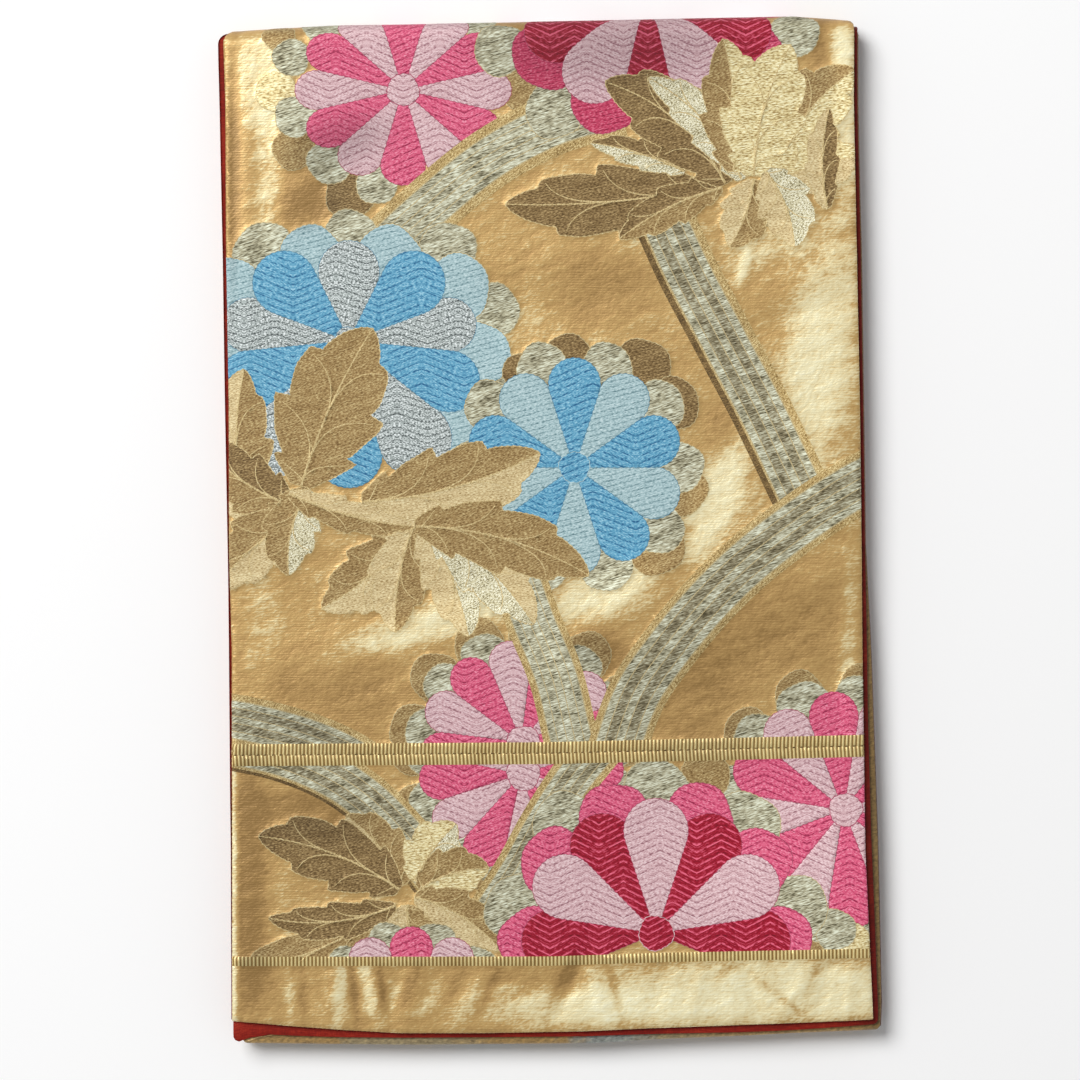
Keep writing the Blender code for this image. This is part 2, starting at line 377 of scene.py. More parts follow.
class Drawing:
    """Shapes on flat cloth, each covering those before it."""

    def __init__(self, step):
        self.shapes = []
        self.step = step

    def cover(self, cloth, outline, field):
        self.shapes.append(Shape(outline, CLOTH_NAMES.index(cloth), field))

    def paint(self, cloth, outline, field=MAIN, cord=0.0, edge="cord"):
        """A shape with a finely stepped woven edge, and an outline this wide if it has one."""
        even = spaced(np.asarray(outline, float), self.step)
        steps = SERRATION * np.where(np.arange(len(even)) % 2, 1, -1)[:, None]
        even = even + sideways(even, True) * steps
        if cord:
            self.cover(edge, grown(even, cord), field)
        self.cover(cloth, even, field)

    def disc(self, cloth, x, y, radius, field=MAIN, edge="cord"):
        """A round lobe, a little uneven."""
        turn = np.linspace(0, 2 * math.pi, 49)[:-1]
        uneven = radius * (1 + 0.035 * np.sin(3 * turn + x) + 0.025 * np.sin(5 * turn + y))
        points = pairs(x + uneven * np.cos(turn), y + uneven * np.sin(turn))
        self.paint(cloth, points, field, CORD_WIDTH, edge)

    def petal(self, cloth, x, y, angle, spread, reach, field=MAIN, squash=1.0):
        """A cone from the flower's middle, closed by a round end that its sides touch."""
        half = math.radians(spread)
        middle = reach / (1 + math.sin(half))
        radius = middle * math.sin(half)
        turn = np.linspace(-math.pi / 2 - half, math.pi / 2 + half, 40)
        along = np.concatenate(((0.0,), middle + radius * np.cos(turn)))
        across = np.concatenate(((0.0,), radius * np.sin(turn)))
        turned = math.radians(angle)
        outline = pairs(
            x + along * math.cos(turned) - across * math.sin(turned),
            y + squash * (along * math.sin(turned) + across * math.cos(turned)),
        )
        # The groove line round the petal is painted shade
        self.paint(cloth, outline, field, GROOVE_WIDTH, GROOVES[cloth])

    def rosette(self, x, y, reach, count, cloths, turn, field=MAIN, squash=1.0):
        """Petals all round, in alternating cloths."""
        for order in range(len(cloths)):
            for index in range(order, count, len(cloths)):
                angle = turn + 360 * index / count
                self.petal(cloths[order], x, y, angle, 180 / count, reach, field, squash)

    def discs(self, cloth, rows):
        for row in rows:
            self.disc(cloth, *row)

    def scallops(self, cloth, x, y, ring, radius, count, turn, field=MAIN):
        """Round lobes in a ring behind the petals."""
        for index in range(count):
            angle = math.radians(turn + 360 * index / count)
            lobe_x = x + ring * math.cos(angle)
            lobe_y = y + ring * math.sin(angle)
            self.disc(cloth, lobe_x, lobe_y, radius, field)

    def stripe(self, cloth, line, low, high, field):
        across = sideways(line, False)
        self.cover(cloth, there_and_back(line + across * low, line + across * high), field)

    def ribbon(self, points, half, field=MAIN, shade=0.0, border=3.0, dark="silver_dark"):
        """A striped silver ribbon with gold borders, one of them part brown shade."""
        line = curve(points, self.step)
        self.stripe("border", line, -half, half, field)
        if shade:
            edge = math.copysign(half, shade)
            low, high = sorted((edge, edge - shade))
            self.stripe("shade_brown", line, low, high, field)
        low, high = border - half, half - border
        self.stripe("cord", line, low, high, field)
        marks = np.interp(
            (0.03, 0.19, 0.21, 0.4, 0.42, 0.58, 0.6, 0.79, 0.81, 0.97), (0, 1), (low, high)
        )
        cloths = ("silver_green", dark, "silver_green", dark, "silver_green")
        for index, cloth in enumerate(cloths):
            self.stripe(cloth, line, marks[2 * index], marks[2 * index + 1], field)

    def leaf(self, base, tip, width, bend, cloths, field=MAIN):
        """A broad leaf with pointed lobes, and curved veins to them, its halves in two cloths."""
        base = np.array(base, float)
        tip = np.array(tip, float)
        length = np.hypot(*(tip - base))
        across = np.array((base[1] - tip[1], tip[0] - base[0])) / length
        t = np.linspace(0, 1, max(int(length / 1.2), 16))[:, None]
        rib = base + (tip - base) * t + across * bend * 4 * t * (1 - t)
        normal = sideways(rib, False)
        profile = np.interp(t[:, 0], LEAF_AT, LEAF_WIDTHS)[:, None]
        sides = []
        for way, shift in zip((1, -1), LOBE_SHIFTS):
            lobe = (LOBES * t + shift) % 1
            notched = 1 - LOBE_DEPTH * (1 - lobe**0.8)
            sides.append(rib + way * normal * width * profile * notched)
        self.paint("leaf_cord", grown(there_and_back(*sides), LEAF_OUTLINE), field)
        for cloth, edge in zip(cloths, sides):
            self.paint(cloth, there_and_back(rib, edge), field)
        thin = MIDRIB * (1 - 0.6 * t)
        self.paint("leaf_cord", there_and_back(rib + normal * thin, rib - normal * thin), field)
        last = len(t) - 1
        for edge, shift in zip(sides, LOBE_SHIFTS):
            for number in (1, 2, 3):
                at = (number - shift) / LOBES - 0.03
                stop = int(at * last)
                start = int(max(at - 0.32, 0.04) * last)
                bent = rib[int((at - 0.06) * last)]
                reach = rib[stop] + 0.86 * (edge[stop] - rib[stop])
                u = np.linspace(0, 1, 7)[:, None]
                vein = (1 - u) ** 2 * rib[start] + 2 * u * (1 - u) * bent + u**2 * reach
                half = VEIN * (1 - 0.5 * u) * sideways(vein, False)
                self.cover("leaf_cord", there_and_back(vein + half, vein - half), field)


def inside(points, outline):
    """Which points lie in an outline."""
    found = np.zeros(len(points), bool)
    low, high = outline.min(axis=0), outline.max(axis=0)
    near = np.flatnonzero(((points >= low) & (points <= high)).all(axis=1))
    x, y = points[near, 0], points[near, 1]
    odd = np.zeros(len(near), bool)
    for (ax, ay), (bx, by) in zip(outline, np.roll(outline, -1, axis=0)):
        if ay == by:
            continue
        crossed = (ay > y) != (by > y)
        odd ^= crossed & (x < (bx - ax) * (y - ay) / (by - ay) + ax)
    found[near] = odd
    return found


def topmost(points, shapes):
    """Index of the last shape over each point, or -1."""
    fields = field_of(points)
    found = np.full(len(points), -1)
    for field in (MAIN, LOWER, HEM):
        chosen = np.flatnonzero(fields == field)
        some = points[chosen]
        top = np.full(len(chosen), -1)
        for index, shape in enumerate(shapes):
            if shape.field == field:
                top[inside(some, shape.outline)] = index
        found[chosen] = top
    return found


def visible_edges(shapes, border):
    """Outline points and edges that no later shape covers, within the cloth's border."""
    points = np.vstack([shape.outline for shape in shapes])
    owner = np.repeat(np.arange(len(shapes)), [len(shape.outline) for shape in shapes])
    wanted = np.array([shape.field for shape in shapes])[owner]
    hidden = (topmost(points, shapes) > owner) | (field_of(points) != wanted)
    hidden |= ~inside(points, border)
    edges = []
    start = 0
    for shape in shapes:
        count = len(shape.outline)
        first = start + np.arange(count)
        second = start + (np.arange(count) + 1) % count
        shown = ~(hidden[first] & hidden[second])
        edges.append(pairs(first[shown], second[shown]))
        start += count
    edges = np.vstack(edges)
    used, edges = np.unique(edges, return_inverse=True)
    return points[used], edges.reshape(-1, 2)


CLEARANCE = 0.8  # filling points in the same square as a drawn point are left out
ROW_SHARE = 0.866  # of the grid, between rows of equilateral triangles
SAME_POINT = 1e-5


def cut_cloth(drawing, border, inner_points, grid):
    """Triangles that follow the drawing: their corners, and each one's cloth."""
    points, edges = visible_edges(drawing.shapes, border)
    low, high = border.min(axis=0), border.max(axis=0)
    marked = np.zeros(np.ceil((high - low) / CLEARANCE).astype(int) + 3, bool)
    for near in (points, border):
        place = np.floor((near - low) / CLEARANCE).astype(int) + 1
        place = np.clip(place, 0, np.array(marked.shape) - 1)
        marked[place[:, 0], place[:, 1]] = True
    columns = np.arange(low[0], high[0], grid)
    rows = np.arange(low[1], high[1], grid * ROW_SHARE)
    spread = [
        pairs(columns + (index % 2) * grid / 2, np.full(len(columns), row))
        for index, row in enumerate(rows)
    ]
    filling = np.vstack(spread + [inner_points])
    filling = filling[inside(filling, border)]
    place = np.floor((filling - low) / CLEARANCE).astype(int) + 1
    filling = filling[~marked[place[:, 0], place[:, 1]]]
    count = len(points)
    ring = count + np.arange(len(border))
    edges = np.vstack((edges, pairs(ring, np.roll(ring, -1))))
    everything = np.vstack((points, border, filling))
    corners, _, faces, *_ = delaunay_2d_cdt(
        [Vector(point) for point in everything], edges.tolist(), [], 0, SAME_POINT, False
    )
    corners = np.array([tuple(corner) for corner in corners])
    faces = np.array([face for face in faces if len(face) == 3])
    middles = corners[faces].mean(axis=1)
    kept = inside(middles, border)
    faces, middles = faces[kept], middles[kept]
    shape = topmost(middles, drawing.shapes)
    shape_cloths = np.array([shape.cloth for shape in drawing.shapes] + [0])
    used, faces = np.unique(faces, return_inverse=True)
    return corners[used], faces.reshape(-1, 3), shape_cloths[shape]


# Light and dark patches painted on the top panel: the foil's painted glints, painted shade where
# it catches no light, and painted shade in its creases: centre, half lengths along and across,
# turn in degrees, and how bright (above 0) or dark.
TONES = (
    (-138, 172, 36, 7, 90, 0.62),
    (-143, 222, 30, 15, 90, 0.75),
    (144, 238, 15, 6, 90, 1.1),
    (146, 196, 34, 8, 90, 0.8),
    (112, 142, 30, 10, 20, 0.5),
    (133, 85, 60, 19, 84, 1.0),
    (-62, -47, 54, 9, 17, 1.0),
    (82, 18, 34, 12, 72, 1.0),
    (28, -30, 32, 13, 28, 1.0),
    (-10, 108, 26, 10, 60, 0.4),
    (92, -228, 84, 17, 2, 1.0),
    (20, -234, 70, 8, 2, 0.6),
    (95, 130, 12, 2.6, 76, 0.9),
    (146, -60, 50, 4, 88, 0.6),
    (-142, -60, 26, 8, 80, 0.35),
    (-155, 180, 60, 3.0, 90, -1.1),
    (110, -48, 46, 30, 12, -0.5),
    (-105, -78, 44, 26, -6, -0.5),
    (70, -86, 30, 30, 50, -0.6),
    (18, 120, 46, 16, 0, -0.45),
    (-118, 160, 18, 13, 20, -1.0),
    (30, 238, 62, 22, 0, -1.1),
    (-104, 190, 26, 13, 20, -1.1),
    (118, -165, 62, 46, 0, 0.5),
    (0, -62, 14, 9, -70, 0.6),
    (-122, -98, 22, 8, -20, -0.5),
    (84, 48, 14, 7, 80, -0.6),
    (24, -58, 18, 11, -30, -0.8),
    (-148, -170, 76, 10, 90, -1.0),
    (-155, -178, 84, 2.2, 90, 1.6),
    (-118, -140, 36, 14, -10, -0.9),
    (-140, -222, 14, 10, 90, -0.35),
    (-128, -230, 14, 2.6, 92, 0.5),
    (-121, -228, 14, 2.4, 92, -0.6),
    (-103, -227, 18, 3.4, 86, 0.75),
    (-96, -227, 17, 2.2, 96, -1.1),
    (-89, -225, 16, 3.2, 99, 0.75),
    (-82, -226, 14, 2.2, 98, -1.0),
    (-79, -234, 12, 3.0, 66, 0.6),
    (-68, -221, 13, 3.2, 70, -0.7),
    (-58, -227, 14, 3.4, 60, 0.4),
    (-47, -223, 12, 2.6, 66, -0.5),
    (-38, -227, 16, 3.4, 62, 0.4),
    (-30, -226, 15, 2.4, 66, -0.6),
    (24, -228, 16, 3.2, 110, 0.5),
    (32, -227, 15, 2.4, 104, -0.7),
    (84, -219, 10, 3.0, 60, -0.4),
    (112, -228, 18, 2.2, 142, -0.5),
    (128, -222, 12, 2.4, 70, -0.4),
    (146, -228, 16, 12, 0, 0.6),
    (7, -222, 18, 4.5, 64, -0.9),
    (-20, -218, 40, 5, 0, -0.4),
    (122, -222, 10, 8, 120, 0.3),
    (132, 238, 16, 4, 90, -0.6),
)


PATCH_EDGE = 1.7  # above 1, a patch is more even inside and its edge is sharper
FOLD_SHADE = 0.75
TONE_LIMIT = 1.2


def painted_light_at(x, y):
    """The painted light and shade on the top panel's cloth at each place, with painted shade round
    the fold.
    """
    tone = np.zeros_like(x)
    for *oval, strength in TONES:
        tone += strength * bump_at(x, y, oval, PATCH_EDGE)
    tone -= FOLD_SHADE * np.clip((y - flat_end(x) - 2.0) / 6.0, 0, 1)
    return np.clip(tone, -TONE_LIMIT, TONE_LIMIT)


def cloth_object(name, places, faces, face_cloths, materials, flat, tones):
    """A mesh of cloth, with its flat places in millimetres as a UV map for the weaves."""
    mesh = bpy.data.meshes.new(name)
    mesh.from_pydata((places * MM).tolist(), [], faces.tolist())
    for material in materials:
        mesh.materials.append(material)
    mesh.polygons.foreach_set("material_index", np.asarray(face_cloths, np.int32))
    low = flat.min(axis=0)
    span = (flat.max(axis=0) - low).max() * 1.02  # a little margin round the bake's layout
    corners = np.zeros(len(mesh.loops), np.int32)
    mesh.loops.foreach_get("vertex_index", corners)
    bake = mesh.uv_layers.new(name="OFBake")
    bake.data.foreach_set("uv", ((flat - low) / span + 0.01)[corners].ravel())
    woven = mesh.uv_layers.new(name="cloth")
    woven.data.foreach_set("uv", flat[corners].ravel())
    # The tone attribute carries painted light and shade: glints and shade on the top panel, and
    # shade at the strips' right edges
    tone = mesh.attributes.new("tone", "FLOAT", "POINT")
    tone.data.foreach_set("value", tones.astype(np.float32))
    mesh.shade_smooth()
    mesh.update()
    piece = bpy.data.objects.new(name, mesh)
    bpy.context.scene.collection.objects.link(piece)
    return piece


def embroidered(name, drawing, border, inner_points, grid, lay):
    """Cloth cut to the drawing, its motifs standing above the ground, laid in its place."""
    corners, faces, cloths = cut_cloth(drawing, border, inner_points, grid)
    total = np.zeros(len(corners))
    count = np.zeros(len(corners))
    for corner in range(3):
        np.add.at(total, faces[:, corner], CLOTH_LIFTS[cloths])
        np.add.at(count, faces[:, corner], 1)
    lift = total / np.maximum(count, 1)
    x, y = corners.T
    places = lay(x, y, lift)
    if lay is lay_under:
        faces = faces[:, ::-1]
    return cloth_object(name, places, faces, cloths, face_materials, corners, painted_light_at(x, y))


# ---------------------------------------------------------------- materials


def tint(red, green, blue):
    """A screen colour, 0 to 255, as the linear colour a shader takes."""
    linear = [
        value / 255 / 12.92 if value <= 10 else ((value / 255 + 0.055) / 1.055) ** 2.4
        for value in (red, green, blue)
    ]
    return (*linear, 1.0)


def add(tree, kind, inputs, **settings):
    """A node with its settings, and its inputs given as values or as sockets to link."""
    node = tree.nodes.new("ShaderNode" + kind)
    for name, value in settings.items():
        setattr(node, name, value)
    for name, value in inputs.items():
        if isinstance(value, bpy.types.NodeSocket):
            tree.links.new(value, node.inputs[name])
        else:
            node.inputs[name].default_value = value
    return node


def ramp(tree, factor, stops):
    """The colours of the stops, blended from each to the next."""
    node = add(tree, "ValToRGB", {"Fac": factor})
    elements = node.color_ramp.elements
    while len(elements) < len(stops):
        elements.new(0.5)
    for element, (place, color) in zip(elements, stops):
        element.position = place
        element.color = color
    return node.outputs["Color"]


def turned(tree, place, degrees, along=1.0, across=1.0):
    """Cloth coordinates along and across a direction, in features of this size."""
    node = add(
        tree,
        "Mapping",
        {
            "Vector": place,
            "Rotation": (0.0, 0.0, math.radians(degrees)),
            "Scale": (along, across, 1.0),
        },
        vector_type="TEXTURE",
    )
    return node.outputs["Vector"]


def noise(tree, place, degrees, along, across, detail=1.0):
    """Blots of this size along and across a direction."""
    vector = turned(tree, place, degrees, along, across)
    node = add(tree, "TexNoise", {"Vector": vector, "Scale": 1.0, "Detail": detail})
    return node.outputs["Fac"]


def wave(tree, place, degrees, pitch, distortion, reach, profile="SIN"):
    """Bands in a direction, a pitch apart."""
    inputs = {
        "Vector": turned(tree, place, degrees),
        "Scale": 2 * math.pi / 20 / pitch,
        "Distortion": distortion,
        "Detail": 1.0,
        "Detail Scale": reach,
    }
    settings = {"bands_direction": "Y", "wave_profile": profile}
    return add(tree, "TexWave", inputs, **settings).outputs["Fac"]


def spread_out(tree, value, low, high, to_low, to_high):
    """The value's range from low to high, stretched over another and held to it."""
    inputs = {"Value": value, "From Min": low, "From Max": high}
    inputs.update({"To Min": to_low, "To Max": to_high})
    return add(tree, "MapRange", inputs).outputs["Result"]


def math_node(tree, operation, *values):
    inputs = dict(enumerate(values))
    return add(tree, "Math", inputs, operation=operation).outputs[0]


def weighted(tree, parts, middle=0.5):
    """The middle plus each part's departure from one half, times its weight."""
    total = middle - 0.5 * sum(weight for _, weight in parts)
    for socket, weight in parts:
        total = math_node(tree, "MULTIPLY_ADD", socket, weight, total)
    return total


def cloth_shader(name, finish):
    """A material with a Principled shader set up for cloth, and its cloth coordinates."""
    material = bpy.data.materials.new(name)
    material.use_nodes = True
    tree = material.node_tree
    shader = tree.nodes["Principled BSDF"]
    for socket, value in finish.items():
        shader.inputs[socket].default_value = value
    coordinates = add(tree, "UVMap", {}, uv_map="cloth").outputs["UV"]
    return material, tree, shader, coordinates


def finish_shader(tree, shader, color, height, strength, depth, tone_share=0.29):
    """Colour, a little lighter or darker with the painted light and shade in the tone attribute,
    and bump.
    """
    # The tone attribute holds painted light and shade
    tone = add(tree, "Attribute", {}, attribute_name="tone").outputs["Fac"]
    bright = math_node(tree, "MULTIPLY_ADD", tone, tone_share, 1.0)
    scaled = add(tree, "VectorMath", {"Vector": color, "Scale": bright}, operation="SCALE")
    tree.links.new(scaled.outputs["Vector"], shader.inputs["Base Color"])
    inputs = {"Height": height, "Strength": strength, "Distance": depth * MM}
    bump = add(tree, "Bump", inputs)
    tree.links.new(bump.outputs["Normal"], shader.inputs["Normal"])


# The dark, base and light colour of each woven cloth
WEAVE_COLORS = {
    "rose": ((140, 24, 64), (216, 86, 122), (246, 164, 186)),
    "pale_pink": ((140, 90, 102), (212, 175, 179), (244, 224, 226)),
    "crimson": ((92, 0, 18), (156, 0, 36), (232, 104, 132)),
    "deep_rose": ((130, 18, 52), (192, 52, 90), (236, 140, 162)),
    "blue": ((30, 90, 136), (93, 162, 194), (176, 220, 236)),
    "pale_blue": ((92, 126, 134), (166, 194, 198), (214, 232, 234)),
    "silver_white": ((74, 80, 82), (169, 179, 176), (240, 246, 246)),
    "silver_green": ((84, 78, 54), (180, 175, 146), (232, 236, 214)),
    "silver_dark": ((74, 66, 42), (144, 134, 104), (206, 206, 180)),
    "leaf_gold": ((108, 80, 40), (160, 131, 83), (210, 190, 138)),
    "leaf_tan": ((146, 118, 70), (210, 188, 140), (240, 228, 184)),
    "leaf_brown": ((88, 66, 34), (132, 106, 65), (184, 158, 110)),
    "leaf_bright": ((156, 128, 76), (224, 207, 152), (249, 243, 204)),
    "leaf_silver": ((124, 112, 78), (216, 208, 170), (249, 247, 226)),
    "shade_brown": ((76, 58, 30), (112, 88, 50), (160, 132, 84)),
    "border": ((122, 96, 52), (186, 158, 102), (232, 214, 160)),
    "cord": ((140, 120, 78), (190, 172, 126), (226, 214, 172)),
    "leaf_cord": ((150, 124, 76), (204, 182, 130), (236, 220, 172)),
    # The groove lines' colours are painted shade round petals and flower middles
    "rose_painted_shade_line": ((120, 34, 60), (164, 66, 94), (196, 110, 130)),
    "blue_painted_shade_line": ((50, 92, 118), (86, 134, 158), (130, 172, 190)),
}
# How each is woven: the angle, pitch and weight of its ridges, the angle, length, width and
# weight of its threads, how metallic it is, and the width of its herringbone columns
Weave = namedtuple(
    "Weave",
    "ridge_turn pitch ridge thread_turn along across speck metal fold",
    defaults=(0, 0),
)
WEAVES = {
    "rose": Weave(23, 3.3, 0.68, 23, 1.5, 0.5, 1.3, 0, 21),
    "pale_pink": Weave(23, 3.3, 0.62, 23, 1.4, 0.5, 1.3, 0, 18),
    "crimson": Weave(27, 3.0, -1.0, 27, 2.0, 0.5, 0.9, 0, 12),
    "deep_rose": Weave(12, 2.3, 0.6, 12, 1.6, 0.5, 1.3),
    "blue": Weave(21, 3.3, 0.68, 21, 1.5, 0.5, 1.3, 0, 21),
    "pale_blue": Weave(15, 2.6, 0.62, 15, 1.4, 0.5, 1.3),
    "silver_white": Weave(18, 3.1, 0.75, 16, 1.0, 0.5, 2.2, 0.1, 15),
    "silver_green": Weave(17, 1.6, 0.4, 17, 3.0, 0.55, 1.7, 0.2),
    "silver_dark": Weave(17, 1.6, 0.4, 17, 2.8, 0.55, 1.7, 0.2),
    "leaf_gold": Weave(20, 1.5, 0.3, 20, 1.4, 0.5, 1.6, 0.2),
    "leaf_tan": Weave(8, 1.5, 0.2, 8, 1.3, 0.45, 1.5, 0.2),
    "leaf_brown": Weave(12, 1.5, 0.4, 12, 1.4, 0.5, 1.9, 0.2),
    "leaf_bright": Weave(6, 1.4, 0.4, 6, 2.0, 0.55, 2.1, 0.2),
    "leaf_silver": Weave(30, 1.5, 0.3, 30, 1.0, 0.45, 2.4, 0.2),
    "shade_brown": Weave(20, 1.4, 0.2, 20, 1.2, 0.5, 1.7, 0.2),
    "border": Weave(40, 1.5, 0.25, 40, 1.1, 0.5, 1.8, 0.2),
    "cord": Weave(62, 1.5, 0.3, 62, 1.0, 0.5, 1.4, 0.2),
    "leaf_cord": Weave(62, 1.5, 0.3, 62, 1.0, 0.5, 1.4, 0.2),
    "rose_painted_shade_line": Weave(20, 1.5, 0.3, 20, 1.0, 0.5, 1.0),
    "blue_painted_shade_line": Weave(20, 1.5, 0.3, 20, 1.0, 0.5, 1.0),
}
# How far a cloth's colour wanders in streaks, where that isn't the usual amount
MOTTLED = dict(silver_green=1.0, silver_dark=0.9, leaf_silver=0.6, leaf_gold=0.5, leaf_tan=0.5)
MOTTLED.update(leaf_bright=0.7, leaf_brown=0.5, border=0.6, shade_brown=0.8, crimson=0.4)
USUAL_MOTTLE = 0.2
SILK = {"Roughness": 0.6, "Sheen Weight": 0.04, "Sheen Roughness": 0.4, "Specular IOR Level": 0.28}


def woven(name, weave):
    """A twill or herringbone cloth: broken ridges, single threads and faint streaks."""
    finish = dict(SILK, Metallic=weave.metal)
    material, tree, shader, place = cloth_shader(name, finish)
    if weave.fold:
        split = add(tree, "SeparateXYZ", {"Vector": place})
        folded = math_node(tree, "PINGPONG", split.outputs["X"], float(weave.fold))
        joined = add(tree, "CombineXYZ", {"X": folded, "Y": split.outputs["Y"]})
        place = joined.outputs["Vector"]
    ridges = wave(tree, place, weave.ridge_turn, weave.pitch, 0.9, 0.5, "SAW")
    grooved = spread_out(tree, ridges, 0.0, 0.34, 0.0, 0.6)
    breaks = noise(tree, place, weave.ridge_turn, 3.4, 1.2)
    broken = math_node(tree, "MAXIMUM", grooved, spread_out(tree, breaks, 0.44, 0.66, 0.0, 0.62))
    threads = noise(tree, place, weave.thread_turn, weave.along, weave.across)
    stains = noise(tree, place, weave.ridge_turn, 13.0, 4.0, 2.0)
    mottle = MOTTLED.get(name, USUAL_MOTTLE)
    parts = ((broken, weave.ridge), (threads, weave.speck), (stains, mottle))
    level = weighted(tree, parts, 0.5 - 0.06 * weave.ridge)
    dark, base, light = (tint(*color) for color in WEAVE_COLORS[name])
    color = ramp(tree, level, ((0.12, dark), (0.5, base), (0.9, light)))
    height = weighted(tree, ((broken, 1.4 * weave.ridge), (threads, 0.7 * weave.speck)))
    finish_shader(tree, shader, color, height, 0.5, 0.2)
    return material


def foil(name):
    """The ground: flat gold-foil thread across the cloth, brighter where it is rubbed, with painted
    glints and painted shade from the tone attribute.
    """
    finish = {"Metallic": 0.3, "Roughness": 0.42, "Specular IOR Level": 0.4}
    material, tree, shader, place = cloth_shader(name, finish)
    threads = noise(tree, place, 0, 9.0, 0.55)
    picks = wave(tree, place, 0, 1.25, 0.6, 0.4)
    grain = noise(tree, place, 28, 2.6, 0.9)
    crumple = noise(tree, place, 24, 17.0, 6.0, 3.0)
    crinkle = noise(tree, place, 62, 5.5, 2.6, 2.0)
    rubbing = noise(tree, place, 10, 60.0, 40.0)
    tone = add(tree, "Attribute", {}, attribute_name="tone").outputs["Fac"]
    # Painted glints and painted shade: the tone attribute moves the colour up and down the ramp
    painted_glints_and_shade = math_node(tree, "MULTIPLY_ADD", tone, 0.36, 0.36)
    # Crumple and crinkle also shape the bump below, so their share of the colour is painted light
    # and shade on that relief
    parts = ((crumple, 0.48), (threads, 0.45), (grain, 0.4), (crinkle, 0.28), (rubbing, 0.25))
    level = math_node(tree, "ADD", weighted(tree, parts, 0.0), painted_glints_and_shade)
    # The stops run from the darker tan of the foil in shade up to the pale gold of its painted
    # highlights
    stops = (
        (0.0, tint(154, 120, 69)),
        (0.22, tint(184, 147, 90)),
        (0.42, tint(199, 164, 103)),
        (0.58, tint(230, 211, 160)),
        (0.8, tint(246, 236, 193)),
        (1.0, tint(252, 247, 214)),
    )
    color = ramp(tree, level, stops)
    parts = ((threads, 0.3), (picks, 0.08), (grain, 0.3), (crinkle, 0.5), (crumple, 1.3))
    finish_shader(tree, shader, color, weighted(tree, parts), 0.6, 0.45, 0.04)
    return material


RIB_PITCH = 1.85


def ribs(name, degrees):
    """A row of gold ribs standing across it, leaning by a few degrees."""
    finish = {"Metallic": 0.35, "Roughness": 0.4}
    material, tree, shader, place = cloth_shader(name, finish)
    rib = wave(tree, place, 90 + degrees, RIB_PITCH, 0.25, 0.6)
    threads = noise(tree, place, 90 + degrees, 3.0, 0.5)
    stains = noise(tree, place, 0, 14.0, 14.0)
    level = weighted(tree, ((rib, 0.9), (threads, 0.35), (stains, 0.4)))
    stops = ((0.05, tint(128, 98, 48)), (0.45, tint(186, 154, 92)), (0.9, tint(232, 214, 154)))
    finish_shader(tree, shader, ramp(tree, level, stops), level, 0.8, 0.3)
    return material


def lining(name):
    """Plain-woven red silk: threads both ways, faint slubs, and crease lines across, in the bump
    and as painted light and shade in the colour.
    """
    finish = {"Roughness": 0.65, "Sheen Weight": 0.04, "Specular IOR Level": 0.2}
    material, tree, shader, place = cloth_shader(name, finish)
    weft = noise(tree, place, 0, 4.0, 0.5)
    warp = noise(tree, place, 90, 3.0, 0.5)
    # stains gives the crease lines across: the bump raises them, and their lighter and darker
    # colour is painted light and shade
    stains = noise(tree, place, 0, 30.0, 12.0, 2.0)
    level = weighted(tree, ((weft, 0.7), (warp, 0.5), (stains, 0.6)))
    stops = ((0.1, tint(88, 12, 6)), (0.5, tint(136, 26, 13)), (0.9, tint(176, 56, 32)))
    finish_shader(tree, shader, ramp(tree, level, stops), level, 0.5, 0.12, 0.5)
    return material


# What the design shows where the lower folds cut across it: a ribbon left of the middle, a blue
# flower's edge and its silver lobes right of it, and gold ground elsewhere.
GROUND_GOLD = (162, 131, 81)
PALE_GOLD = (190, 159, 104)
RIBBON_SILVER = (155, 138, 103)
FLOWER_BLUE = (143, 147, 141)
FOLD_BANDS = (
    (-170, PALE_GOLD),
    (-140, GROUND_GOLD),
    (-104, GROUND_GOLD),
    (-96, RIBBON_SILVER),
    (-50, RIBBON_SILVER),
    (-24, GROUND_GOLD),
    (6, GROUND_GOLD),
    (20, FLOWER_BLUE),
    (37, FLOWER_BLUE),
    (54, RIBBON_SILVER),
    (100, GROUND_GOLD),
)
BAND_SPAN = 340.0
BAND_SWING = 200.0  # along the strip, over which the bands swing sideways
BAND_WANDER = 24.0


